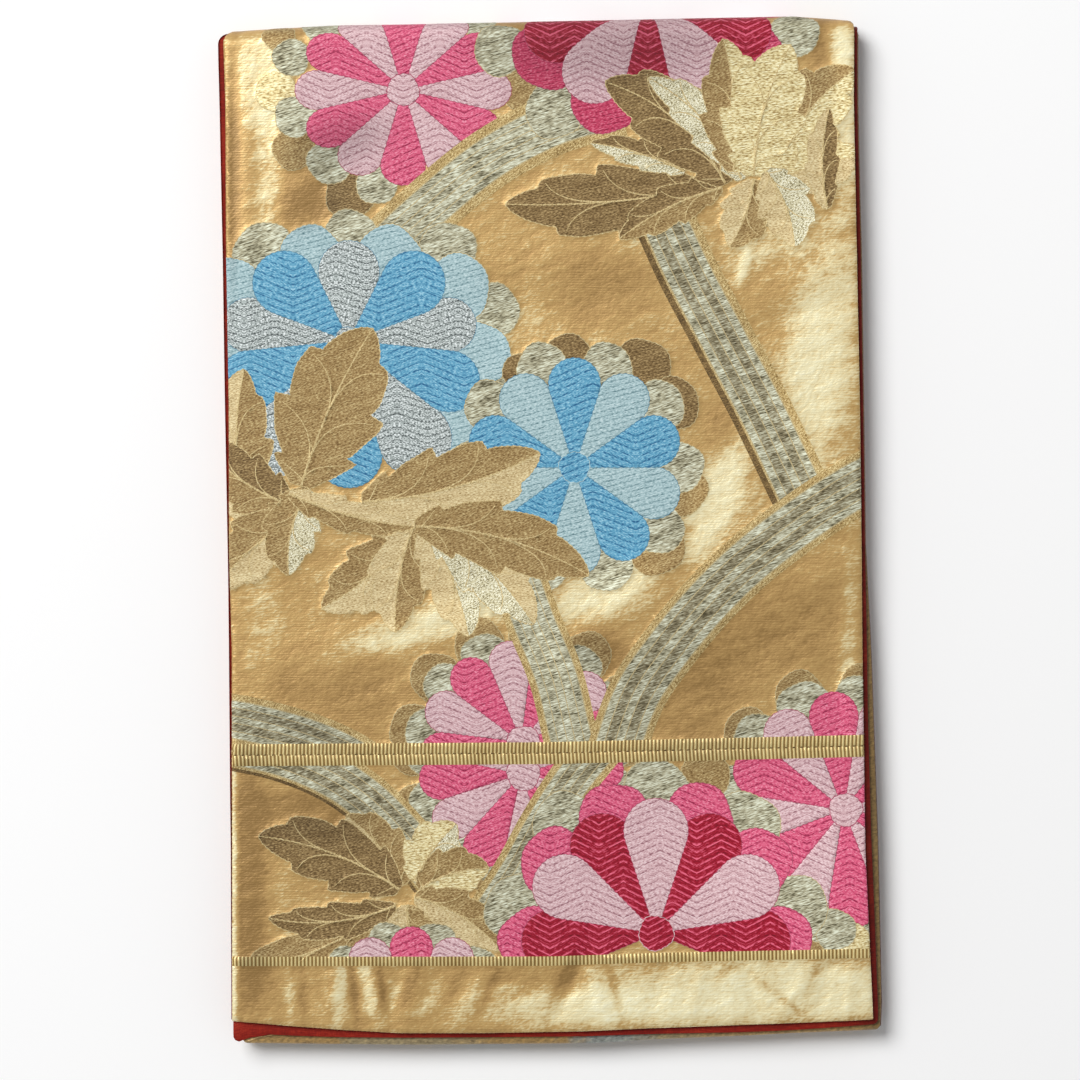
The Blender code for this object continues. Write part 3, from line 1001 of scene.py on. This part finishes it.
def leaf_edges(name, shown_at):
    """The face cloth on the hidden leaves and lower folds: gold, and threads of the design.

    The bands stand where the table says this far along the strip, and wander away from there."""
    finish = {"Metallic": 0.25, "Roughness": 0.45, "Sheen Weight": 0.15}
    material, tree, shader, place = cloth_shader(name, finish)
    split = add(tree, "SeparateXYZ", {"Vector": place})
    wander = noise(tree, place, 0, 5.0, 3.0, 2.0)
    from_middle = math_node(tree, "ABSOLUTE", split.outputs["X"])
    away = math_node(tree, "SUBTRACT", split.outputs["Y"], shown_at)
    swing = math_node(tree, "SINE", math_node(tree, "DIVIDE", away, BAND_SWING))
    swung = spread_out(tree, from_middle, 144.0, 150.0, 64.0, 0.0)  # none at the side edges
    swung = math_node(tree, "MULTIPLY", swing, swung)
    shifted = math_node(tree, "MULTIPLY_ADD", wander, BAND_WANDER, split.outputs["X"])
    shifted = math_node(tree, "ADD", shifted, swung)
    middle = 0.5 - BAND_WANDER / 2 / BAND_SPAN
    share = math_node(tree, "MULTIPLY_ADD", shifted, 1 / BAND_SPAN, middle)
    stops = [(x / BAND_SPAN + 0.5, tint(*color)) for x, color in FOLD_BANDS]
    base = ramp(tree, share, stops)
    flecks = noise(tree, place, 20, 2.6, 1.3, 2.0)
    threads = noise(tree, place, 0, 1.6, 0.5)
    level = weighted(tree, ((flecks, 1.1), (threads, 0.8)))
    stops = ((0.1, (0.4, 0.37, 0.32, 1)), (0.5, (1, 1, 1, 1)), (0.9, (1.7, 1.7, 1.6, 1)))
    shade = ramp(tree, level, stops)
    mixed = add(tree, "VectorMath", {0: base, 1: shade}, operation="MULTIPLY")
    finish_shader(tree, shader, mixed.outputs["Vector"], level, 0.4, 0.12, 0.4)
    return material


# ---------------------------------------------------------------- the design


RIB_ROWS = (
    (LINE_1, (MAIN, LOWER), (("ribs_rising", 0, LINE_1_HALF), ("ribs_falling", -LINE_1_HALF, 0))),
    (LINE_2, (LOWER, HEM), (("ribs_single", -LINE_2_HALF, LINE_2_HALF),)),
)


def draw_lines(drawing):
    """The rows of ribs that part the fields."""
    x = np.arange(-172.0, 174.0, 4.0)
    for line, fields, stripes in RIB_ROWS:
        middle = pairs(x, line_at(line, x))
        for field in fields:
            for cloth, low, high in stripes:
                drawing.stripe(cloth, middle, low, high, field)


def draw_join(drawing):
    """Small dark gaps where the two rows of upper ribs meet."""
    for x in np.arange(-155.0, 157.0, 2 * RIB_PITCH):
        y = line_at(LINE_1, x)
        dot = np.array(((x, y - 0.4), (x + 1.5, y - 0.25), (x + 1.7, y + 0.35), (x + 0.2, y + 0.3)))
        for field in (MAIN, LOWER):
            drawing.cover("shade_brown", dot, field)


def draw_upper_flowers(d):
    """Two flowers at the top, with a ribbon between them."""
    # Small pink flower at the top left, with silver and gold lobes outside it
    d.disc("leaf_gold", -133, 243, 8)
    d.disc("leaf_bright", -134, 215, 10)
    d.disc("leaf_gold", -126, 187, 10)
    d.disc("leaf_brown", -98, 165, 12)
    d.disc("leaf_gold", -13, 216, 11)
    lobes = ((-127, 232, 9), (-125, 203, 10), (-108, 181, 11), (-85, 170, 10))
    d.discs("silver_green", lobes + ((-112, 250, 10), (-36, 252, 9)))
    d.rosette(-72, 216, 53, 12, ("pale_pink", "rose"), 0, squash=0.88)
    d.disc("pale_pink", -72, 216, 7.8, MAIN, "rose_painted_shade_line")
    # Ribbon rising to the right across that flower
    points = ((-92, 128), (-62, 156), (-30, 182), (2, 199), (34, 208))
    d.ribbon(points, 15.0, MAIN, 0.0, 4.4, "silver_green")
    # Large double flower at the top
    d.discs("silver_green", ((120, 244, 12), (-24, 236, 13), (2, 206, 14)))
    double_flower(d, 48, 268, 270, MAIN, ("crimson", "pale_pink"), "deep_rose")


def double_flower(d, x, y, axis, field, cloths, outer):
    """Broad petals fanning out either side of an axis, over a ring of rounder ones."""
    for turn in (-94, -55, -20, 20, 55, 94):
        angle = math.radians(axis + turn)
        lobe_x, lobe_y = x + 60 * math.cos(angle), y + 60 * math.sin(angle)
        d.disc(outer, lobe_x, lobe_y, 17, field, "rose_painted_shade_line")
    for order in (1, 0) if cloths[0] == "pale_pink" else (0, 1):
        for step in range(-3, 4):
            if step % 2 == order:
                d.petal(cloths[order], x, y, axis + 31.5 * step, 18.3, 66, field)
    d.disc("crimson", x, y, 8.4, field, "pale_pink")


def draw_middle_flowers(d):
    """The two blue flowers."""
    # Double flower at the left
    lobes = ((-140, 136, 15), (-98, 143, 14), (-50, 137, 14), (-28, 108, 13), (-24, 62, 13))
    d.discs("silver_green", lobes)
    lobes = ((-158, 118, 16), (-117, 133, 16.5), (-79, 133, 16.5), (-46, 119, 16.5))
    d.discs("pale_blue", lobes + ((-36, 86, 16.5), (-44, 54, 15), (-160, 84, 14), (-60, 24, 15)))
    d.petal("blue", -98.6, 93, 270, 17, 72)
    whites = ((9, 15.8, 63), (171, 15.8, 63), (90, 26, 49), (-56, 18, 76), (236, 18, 76))
    for angle, spread, reach in whites:
        d.petal("silver_white", -98.6, 93, angle, spread, reach)
    for angle, spread, reach in ((-22, 16.3, 68), (202, 16.3, 68), (42, 21.6, 58), (138, 21.6, 58)):
        d.petal("blue", -98.6, 93, angle, spread, reach)
    d.disc("silver_white", -98.6, 92, 7.5, MAIN, "blue_painted_shade_line")
    # Small flower to the right of it
    d.discs("leaf_brown", ((9, 83, 13), (45, 80, 14), (60, 62, 13)))
    d.discs("leaf_gold", ((64, 20, 13), (52, -8, 14)))
    d.disc("leaf_brown", -14, 78, 9)
    d.scallops("silver_green", 12, 31, 51, 12.5, 10, 36)
    d.rosette(12, 31, 53.5, 10, ("pale_blue", "blue"), 54)
    d.disc("blue", 12, 31, 7.4, MAIN, "pale_blue")


def draw_lower_flowers(d):
    """The pink flowers that the upper row of ribs crosses."""
    # Pink flower across the upper row of ribs, drawn anew below it
    for field, middle, start, cloths in (
        (MAIN, -104, 98, ("pale_pink", "rose")),
        (LOWER, -119.5, 183, ("rose", "pale_pink")),
    ):
        d.scallops("leaf_gold", -14, middle, 53, 12, 12, start + 15, field)
        d.scallops("silver_green", -14, middle, 45, 12, 12, start + 15, field)
        d.rosette(-14, middle, 50, 12, cloths, start, field)
        d.disc("pale_pink", -13, middle, 8, field, "rose_painted_shade_line")
    # Pink flower at the right edge
    for field in (MAIN, LOWER):
        d.scallops("leaf_gold", 144, -137, 60, 12, 12, 21, field)
        d.scallops("silver_green", 144, -137, 53, 13.5, 12, 21, field)
        d.rosette(144, -137, 58, 12, ("pale_pink", "rose"), 126, field)
        d.disc("pale_pink", 145, -137, 8, field, "rose_painted_shade_line")


def draw_bottom_flowers(d):
    """The flowers that the lower row of ribs cuts off."""
    d.disc("leaf_gold", 76, -121, 12, LOWER)
    d.disc("leaf_bright", 146, -205, 13, LOWER)
    d.disc("silver_green", 140, -196, 10, LOWER)
    # Large double flower at the lower edge of its field
    d.scallops("silver_green", 52, -197.5, 68, 17, 9, 10, LOWER)
    double_flower(d, 52, -197.5, 90, LOWER, ("pale_pink", "crimson"), "rose")
    # Top of a small pink flower beside it
    d.scallops("silver_green", -68, -246, 44, 11, 12, 15, LOWER)
    d.rosette(-68, -245, 50.5, 12, ("rose", "pale_pink"), 90, LOWER)


# Leaves: where each starts, its tip, half width, bend, the cloths of its halves
TOP_LEAVES = (
    ((76, 168), (-22, 160), 19, 3, ("leaf_brown", "leaf_brown")),
    ((84, 168), (34, 143), 11, -3, ("leaf_gold", "leaf_brown")),
    ((66, 176), (20, 190), 8, -2, ("leaf_silver", "leaf_brown")),
    ((86, 170), (27, 220), 20, -8, ("leaf_brown", "leaf_brown")),
    ((94, 172), (48, 222), 12, -6, ("leaf_silver", "leaf_silver")),
    ((112, 176), (150, 226), 20, 6, ("leaf_gold", "leaf_bright")),
    ((90, 176), (85, 241), 18, -3, ("leaf_gold", "leaf_bright")),
    ((100, 174), (118, 238), 22, 4, ("leaf_bright", "leaf_bright")),
    ((108, 170), (154, 184), 15, 2, ("leaf_bright", "leaf_tan")),
    ((100, 172), (88, 139), 14, 2, ("leaf_gold", "leaf_tan")),
    ((106, 176), (120, 139), 15, 3, ("leaf_silver", "leaf_tan")),
    ((136, 158), (137, 207), 9, 3, ("leaf_tan", "leaf_brown")),
)
MIDDLE_LEAVES = (
    ((-150, 6), (-150, 79), 19, 4, ("leaf_tan", "leaf_gold")),
    ((-126, 12), (-172, 44), 16, 4, ("leaf_gold", "leaf_brown")),
    ((-120, 8), (-165, -30), 17, -4, ("leaf_tan", "leaf_gold")),
    ((-118, 20), (-128, -22), 15, -4, ("leaf_silver", "leaf_gold")),
    ((-122, 22), (-87, 99), 28, 3, ("leaf_gold", "leaf_gold")),
    ((-70, 0), (-112, -38), 17, 4, ("leaf_tan", "leaf_gold")),
    ((-66, 4), (-76, -50), 16, -3, ("leaf_gold", "leaf_tan")),
    ((-62, 4), (-40, -52), 16, 3, ("leaf_silver", "leaf_tan")),
    ((-60, 6), (-8, -46), 18, 4, ("leaf_tan", "leaf_silver")),
    ((-92, 14), (-5, 38), 22, -5, ("leaf_gold", "leaf_tan")),
    ((-66, 2), (19, -22), 18, 6, ("leaf_gold", "leaf_gold")),
    ((-128, 18), (-66, 2), 9, -3, ("leaf_tan", "leaf_gold")),
)
BOTTOM_LEAVES = (
    ((-72, -174), (-100, -140), 14, -3, ("leaf_tan", "leaf_gold")),
    ((-66, -172), (-46, -144), 15, 2, ("leaf_bright", "leaf_silver")),
    ((-64, -176), (-30, -166), 14, 3, ("leaf_gold", "leaf_bright")),
    ((-66, -180), (-24, -206), 13, 4, ("leaf_gold", "leaf_tan")),
    ((-78, -186), (-158, -220), 15, 4, ("leaf_gold", "leaf_gold")),
    ((-70, -184), (-62, -216), 15, -2, ("leaf_gold", "leaf_tan")),
    ((-76, -184), (-138, -190), 10, 5, ("leaf_brown", "leaf_brown")),
    ((-74, -176), (-143, -150), 18, -5, ("leaf_brown", "leaf_brown")),
)


def top_design():
    """The design of the decorated face, with the fold's cloth as its far end."""
    d = Drawing(STEP)
    draw_upper_flowers(d)
    # Ribbon that falls to the right, and the leaves over its upper end
    d.ribbon(((50, 166), (66, 130), (86, 92), (104, 58), (126, 12)), 15.0, MAIN, -3.0, 3.6)
    for row in TOP_LEAVES:
        d.leaf(*row)
    draw_middle_flowers(d)
    draw_lower_flowers(d)
    points = ((-20, -10), (-9, -42), (3, -72), (12, -108), (20, -120))
    d.ribbon(points, 13.5, dark="silver_green")
    for row in MIDDLE_LEAVES:
        d.leaf(*row)
    points = (
        (176, 34), (152, 23), (128, 8), (100, -13), (78, -34), (58, -58), (42, -82), (30, -116)
    )
    d.ribbon(points, 14.5)
    points = ((-176, -90), (-148, -94), (-118, -102), (-96, -112), (-84, -122))
    d.ribbon(points, 12.5)
    points = ((-176, -102), (-140, -108), (-112, -118), (-90, -132), (-70, -152), (-56, -170))
    d.ribbon(points, 13.0, LOWER, -1.6, 2.6)
    d.ribbon(((26, -104), (10, -124), (-4, -146), (-16, -168), (-34, -196)), 12.0, LOWER)
    for row in BOTTOM_LEAVES:
        d.leaf(*row, LOWER)
    draw_bottom_flowers(d)
    draw_lines(d)
    draw_join(d)
    return d


def under_design():
    """The underside of the bundle: the same motifs, farther apart."""
    d = Drawing(3.0)
    for x, y, reach, cloths in (
        (-80, 180, 54, ("pale_pink", "rose")),
        (60, 120, 60, ("pale_pink", "crimson")),
        (-70, 20, 58, ("pale_blue", "blue")),
        (90, -60, 50, ("blue", "pale_blue")),
        (-60, -150, 60, ("rose", "pale_pink")),
        (90, -190, 46, ("pale_pink", "rose")),
    ):
        field = MAIN if y > -100 else LOWER
        d.scallops("silver_green", x, y, reach - 2, 13, 12, 15, field)
        d.rosette(x, y, reach, 12, cloths, 0, field)
        d.disc(cloths[1], x, y, 8, field)
    d.ribbon(((-170, 80), (-80, 92), (0, 60), (60, 10), (90, -20)), 14)
    d.ribbon(((0, 230), (20, 190), (70, 190), (170, 230)), 14)
    draw_lines(d)
    return d


# ---------------------------------------------------------------- building the pieces


def border_of(left, right, low, high, step=2.0):
    """The outline of flat cloth between two side edges and two end edges."""
    rows = np.arange(low(0.0), high(0.0), step)
    xs_low = np.arange(left(low(0.0)), right(low(0.0)), step)
    bottom = pairs(xs_low, low(xs_low))
    right_rows = rows[(rows > low(right(rows)) + 0.5) & (rows < high(right(rows)) - 0.5)]
    right_side = pairs(right(right_rows), right_rows)
    xs_high = np.arange(right(high(0.0)), left(high(0.0)), -step)
    top = pairs(xs_high, high(xs_high))
    left_rows = rows[(rows > low(left(rows)) + 0.5) & (rows < high(left(rows)) - 0.5)][::-1]
    left_side = pairs(left(left_rows), left_rows)
    return np.vstack((bottom, right_side, top, left_side))


RIM_INSETS = (0.45, 0.9, 1.35, 1.9)  # from the cloth's edge
RIM_STEP = 2.4


def rim_points(left, right, low, top):
    """Rows of points close together along the rims, where the cloth turns down."""
    rows = np.arange(low + 1.0, top, RIM_STEP)
    found = []
    for inset in RIM_INSETS:
        found.append(pairs(left(rows) + inset, rows))
        found.append(pairs(right(rows) - inset, rows))
    return np.vstack(found)


materials = {name: woven(name, weave) for name, weave in WEAVES.items()}
materials["ground"] = foil("gold_foil_ground")
materials["ribs_rising"] = ribs("ribs_rising", -3)
materials["ribs_falling"] = ribs("ribs_falling", 3)
materials["ribs_single"] = ribs("ribs_single", 0)
face_materials = [materials[name] for name in CLOTH_NAMES]

EXTRA = RIM * RIM_TURN - RIM  # cloth past the edge's outermost line, turned down
BACK = 6.0  # the fold's cloth runs this far onto the underside


def top_left(y):
    return side("face_left", y) - EXTRA


def top_right(y):
    return side("face_right", y) + EXTRA


def top_low(x):
    return end("tare", x) - EXTRA


def top_high(x):
    return flat_end(x) + FOLD_ARC + BACK


border = border_of(top_left, top_right, top_low, top_high)
hem_x = np.arange(-150.0, 156.0, RIM_STEP)
hem_rows = [pairs(hem_x, top_low(hem_x) + inset) for inset in RIM_INSETS]
inner = np.vstack([rim_points(top_left, top_right, -240.0, 268.0)] + hem_rows)
brocade_top = embroidered("brocade_top", top_design(), border, inner, 2.3, lay_on_top)


def under_left(y):
    return side("hidden_left", y) - EXTRA


def under_right(y):
    return side("hidden_right", y) - UNDER_INSET + EXTRA


border = border_of(
    under_left,
    under_right,
    lambda x: end("bottom", x) + UNDER_END,
    lambda x: flat_end(x) - BACK - 0.2,
    4.0,
)
inner = rim_points(under_left, under_right, -240.0, 236.0)
brocade_under = embroidered("brocade_under", under_design(), border, inner, 5.0, lay_under)


# ---------------------------------------------------------------- strips seen at their edges

LEAF = 12.8 / 6  # thickness of a hidden leaf
CORE_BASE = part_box("folded_core")[0].z / MM
LEVELS = [CORE_BASE + (index + 0.5) * LEAF for index in range(6)]
HALF_THICK = 1.0  # of the face or the lining in the hidden leaves
OUTER_THICK = 1.1  # of the lining of the top and the lowest leaf
LOBE_STEPS = 5
LEAF_ROWS = 44
FOLD_ROWS = 15


def run(start, stop, level, rows=LEAF_ROWS, gather=1.0):
    """A flat leaf from one end to the other: places along Y for each column, and heights.

    Above 1, gather draws the rows together towards the far end."""
    share = 1 - (1 - np.linspace(0, 1, rows)[:, None]) ** gather
    y = start + (stop - start) * share
    return y, np.full_like(y, level)


def turn(centre, reach, first, last, way):
    """Half a turn towards +Y or -Y from one level to another."""
    angle = np.linspace(0, math.pi, FOLD_ROWS)[1:-1, None]
    y = centre + way * reach * np.sin(angle)
    z = (first + last) / 2 + (first - last) / 2 * np.cos(angle)
    return y, np.broadcast_to(z, y.shape)


def joined_path(parts):
    """Places along Y, and heights, of runs and turns one after another."""
    return tuple(np.vstack(arrays) for arrays in zip(*parts))


def strip(name, sign, thick, path, edges, material, taper):
    """Half of the folded strip, its face or its lining: an open shell with rounded side edges.

    The path gives the middle of the strip for each column; sign says which side of it this
    cloth is on, edges where its side edges are, and taper how thick it is along the way."""
    y, z = path
    rows, columns = y.shape
    ahead_y = np.gradient(y, axis=0)
    ahead_z = np.gradient(z, axis=0)
    length = np.maximum(np.hypot(ahead_y, ahead_z), 1e-9)
    normal_y, normal_z = -ahead_z / length, ahead_y / length
    along = np.concatenate(((0.0,), np.cumsum(np.hypot(np.diff(y[:, 0]), np.diff(z[:, 0])))))
    left, right = edges
    radius = thick / 2
    lobe = [
        (radius * (1 - math.cos(angle)), radius * (1 + math.sin(angle)))
        for angle in np.linspace(math.radians(-52), math.radians(90), LOBE_STEPS)
    ]
    # Each place's column, its distance inwards from the edge and its height above the middle
    section = [(0, *place) for place in lobe]
    section += [(column, None, thick) for column in range(1, columns - 1)]
    section += [(columns - 1, *place) for place in lobe[::-1]]
    places = np.zeros((rows, len(section), 3))
    flat = np.zeros((rows, len(section), 2))
    for index, (column, inset, height) in enumerate(section):
        if inset is None:
            x = left + (right - left) * COLUMN_SHARES[column]
        else:
            x = left + inset if column == 0 else right - inset
        up = sign * height * taper
        places[:, index, 0] = x
        places[:, index, 1] = y[:, column] + normal_y[:, column] * up
        places[:, index, 2] = z[:, column] + normal_z[:, column] * up
        flat[:, index, 0] = x
        flat[:, index, 1] = along + height
    count = len(section)
    index = np.arange(rows * count).reshape(rows, count)
    quads = np.stack((index[:-1, :-1], index[:-1, 1:], index[1:, 1:], index[1:, :-1]), axis=-1)
    quads = quads.reshape(-1, 4)
    cloths = np.zeros(len(quads), int)
    if sign < 0:
        quads = quads[:, ::-1]
    # The right edges are darkened, where the layers lie in each other's shade
    tones = np.tile(np.repeat((0.0, -1.0), (count - LOBE_STEPS, LOBE_STEPS)), rows)
    return cloth_object(
        name, places.reshape(-1, 3), quads, cloths, [material], flat.reshape(-1, 2), tones
    )


def wobble(rows, size, seed_step):
    """A slow wander along the edge of a leaf."""
    knots = RNG.normal(0, 1, max(int(rows / seed_step), 3))
    return size * np.interp(np.linspace(0, len(knots) - 1, rows), np.arange(len(knots)), knots)


COLUMNS = 26
COLUMN_SHARES = np.concatenate(((0.0, 0.016), np.linspace(0.05, 1.0, COLUMNS - 2)))
column_x = -156.0 + 312.0 * COLUMN_SHARES
top = end("top", column_x)
bottom = end("bottom", column_x)
tare = end("tare", column_x)
hand = end("hand", column_x)
hand[:2] -= (4.2, 2.2)  # the hand end's lining pokes out at the left corner
A7, A6, A5, A4, A3, A2 = LEVELS  # counted down from the top leaf, which is A1
UNDER_MIDDLE = 1.0
TOP_MIDDLE = FACE_LEVEL - 1.0
Q1_CENTRE = bottom + 4.9  # where each fold at -Y starts to turn, and those at +Y
M_CENTRE = bottom + 2.2
Q3_CENTRE = bottom + 4.9
TOP_CENTRE = top - FOLD_REACH

inner_path = joined_path(
    (
        run(Q1_CENTRE + 8, Q1_CENTRE, UNDER_MIDDLE, 4),
        turn(Q1_CENTRE, 3.3, UNDER_MIDDLE, A5, -1),
        run(Q1_CENTRE, TOP_CENTRE - 0.6, A5),
        turn(TOP_CENTRE - 0.6, 0.9, A5, A4, 1),
        run(TOP_CENTRE - 0.6, M_CENTRE, A4),
        turn(M_CENTRE, 1.2, A4, A3, -1),
        run(M_CENTRE, TOP_CENTRE, A3),
        turn(TOP_CENTRE, 2.4, A3, A6, 1),
        run(TOP_CENTRE, Q3_CENTRE, A6),
        turn(Q3_CENTRE, 1.1, A6, A7, -1),
        run(Q3_CENTRE, TOP_CENTRE, A7),
        turn(TOP_CENTRE, 4.5, A7, A2, 1),
        run(TOP_CENTRE, hand, A2, 60, 1.6),
    )
)
rows = len(inner_path[0])

CORNER = 2.8  # radius of the corners at the folds and the end
LINING_MORE = 0.15  # how much farther out the lining lies at the right


def strip_edges(path, shares, lean):
    """Side edges of the hidden strip: each leaf lies a little differently."""
    middle_y = path[0][:, COLUMNS // 2]
    count = len(middle_y)
    left = side("hidden_left", middle_y) + 0.5 + wobble(count, 0.22, 9)
    shown = side("face_right", middle_y)
    beyond = np.interp(middle_y, (-240, -60, 0), (0.3, 0.6, 1.1))
    right = shown + (side("hidden_right", middle_y) - shown) * shares + beyond
    right = right + wobble(count, 0.22, 9)
    return left - lean, right + lean


middle_z = inner_path[1][:, COLUMNS // 2]
shares = np.interp(middle_z, (UNDER_MIDDLE, *LEVELS), (0.5, 0.9, 0.75, 0.9, 1.0, 1.0, 0.5))
taper = np.ones(rows)
taper[-6:] = np.sqrt(1 - (np.arange(6) / 5.5) ** 2) * 0.9 + 0.1
lean = wobble(rows, 0.16, 14)
middle_y = inner_path[0][:, COLUMNS // 2]
top_leaf = middle_z > A2 - 0.3
tips = np.where(top_leaf, end("hand", 0.0), middle_y.min())
rounding = corner_inset(np.clip(middle_y - tips, 0.0, None), CORNER)
face_left, face_right = strip_edges(inner_path, shares, 0.12)
face_edges = (face_left + rounding, face_right - rounding)
lining_left = np.where(top_leaf, side("face_left", middle_y) + 0.4, face_left - lean)
lining_edges = (lining_left + rounding, face_right + lean + LINING_MORE - rounding)

path_steps = np.hypot(np.diff(inner_path[0][:, 0]), np.diff(inner_path[1][:, 0]))
path_run = np.concatenate(((0.0,), np.cumsum(path_steps)))
mid_fold = np.argmin(np.abs(middle_z - (A3 + A4) / 2))
edge_gold = leaf_edges("hidden_face", float(path_run[mid_fold]))
red = lining("red_silk")
inner_face = strip("inner_face", 1, HALF_THICK, inner_path, face_edges, edge_gold, taper)
inner_lining = strip("inner_lining", -1, HALF_THICK, inner_path, lining_edges, red, taper)

outer_path = joined_path(
    (
        run(tare + 0.9, TOP_CENTRE, TOP_MIDDLE, 60),
        turn(TOP_CENTRE, FOLD_REACH - 1.0, TOP_MIDDLE, UNDER_MIDDLE, 1),
        run(TOP_CENTRE, Q1_CENTRE, UNDER_MIDDLE, 60),
    )
)
outer_y = outer_path[0][:, COLUMNS // 2]
outer_z = outer_path[1][:, COLUMNS // 2]
outer_rows = len(outer_y)
high = outer_z > FOLD_HALF
insets = np.where(
    np.abs(outer_z - FOLD_HALF) < FOLD_HALF - 1.2,
    corner_inset(np.clip(end("top", 0.0) - 1.0 - outer_y, 0, None), LEFT_CORNER),
    0.0,
)
outer_left = np.where(high, side("lining_left", outer_y), side("hidden_left", outer_y) - 0.2)
outer_left = outer_left + insets + wobble(outer_rows, 0.15, 12)
outer_right = np.where(high, side("face_right", outer_y) - 0.1, side("hidden_right", outer_y) - 1.5)
outer_taper = np.ones(outer_rows)
outer_taper[:5] = np.sqrt(1 - (np.arange(5)[::-1] / 4.6) ** 2) * 0.9 + 0.1
lining_outer = strip(
    "lining_outer", -1, OUTER_THICK, outer_path, (outer_left, outer_right), red, outer_taper
)

# ---------------------------------------------------------------- what each piece stands for

PIECES = (
    (brocade_top, "brocade_face", ("face_tare", "face_top_fold"), (0.313, 0.525)),
    (brocade_under, "brocade_face", ("face_under",), (0.313, 0.485)),
    (inner_face, "brocade_face", ("face_bottom_fold", "face_mid_fold"), (0.311, 2.99)),
    (lining_outer, "lining", ("lining_tare", "lining_top_fold", "lining_under"), (0.314, 1.0)),
    (inner_lining, "lining", ("folded_core", "hand_end"), (0.311, 2.99)),
)
for piece, finish_slot, nodes, flat_size in PIECES:
    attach(piece, "root")
    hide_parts(*nodes)

# ---------------------------------------------------------------- floor, light and camera

FLOOR = 6.0
FLOOR_LEVEL = -0.0002
bpy.ops.mesh.primitive_plane_add(size=FLOOR, location=(0.0, 0.0, FLOOR_LEVEL))
floor = bpy.context.object
floor.name = "floor"
paper = bpy.data.materials.new("pale_floor")
paper.use_nodes = True
surface = paper.node_tree.nodes["Principled BSDF"]
surface.inputs["Base Color"].default_value = (0.96, 0.96, 0.96, 1)
surface.inputs["Roughness"].default_value = 0.9
floor.data.materials.append(paper)

world = bpy.data.worlds.new("studio")
world.use_nodes = True
sky = world.node_tree
direction = add(sky, "TexCoord", {}).outputs["Generated"]
height = add(sky, "SeparateXYZ", {"Vector": direction}).outputs["Z"]
SKY_GREYS = ((0.0, 0.9), (0.4, 0.36), (1.0, 0.24))  # from the horizon up to overhead
glow = ramp(sky, height, [(at, (grey, grey, grey, 1)) for at, grey in SKY_GREYS])
sky.links.new(glow, sky.nodes["Background"].inputs["Color"])
bpy.context.scene.world = world


LAMP_PLACE = (-2.0, 2.0, 3.6)  # aimed at the origin
lamp = bpy.data.lights.new("key", "AREA")
lamp.shape = "DISK"
lamp.size = 2.8
lamp.energy = 195.0
key = bpy.data.objects.new("key", lamp)
bpy.context.scene.collection.objects.link(key)
key.location = LAMP_PLACE
key.rotation_euler = (-Vector(LAMP_PLACE)).to_track_quat("-Z", "Y").to_euler()

FRAME_WIDTH = 0.5297  # of the view, at the level of the top panel
CAMERA_AIM = (-0.0049, -0.0047)
CAMERA_HEIGHT = 1.9
camera_data = bpy.data.cameras.new("camera")
camera_data.lens = camera_data.sensor_width * CAMERA_HEIGHT / FRAME_WIDTH
camera = bpy.data.objects.new("camera", camera_data)
camera.location = (*CAMERA_AIM, FACE_LEVEL * MM + CAMERA_HEIGHT)
bpy.context.scene.collection.objects.link(camera)
bpy.context.scene.camera = camera
bpy.context.scene.view_settings.view_transform = "Standard"
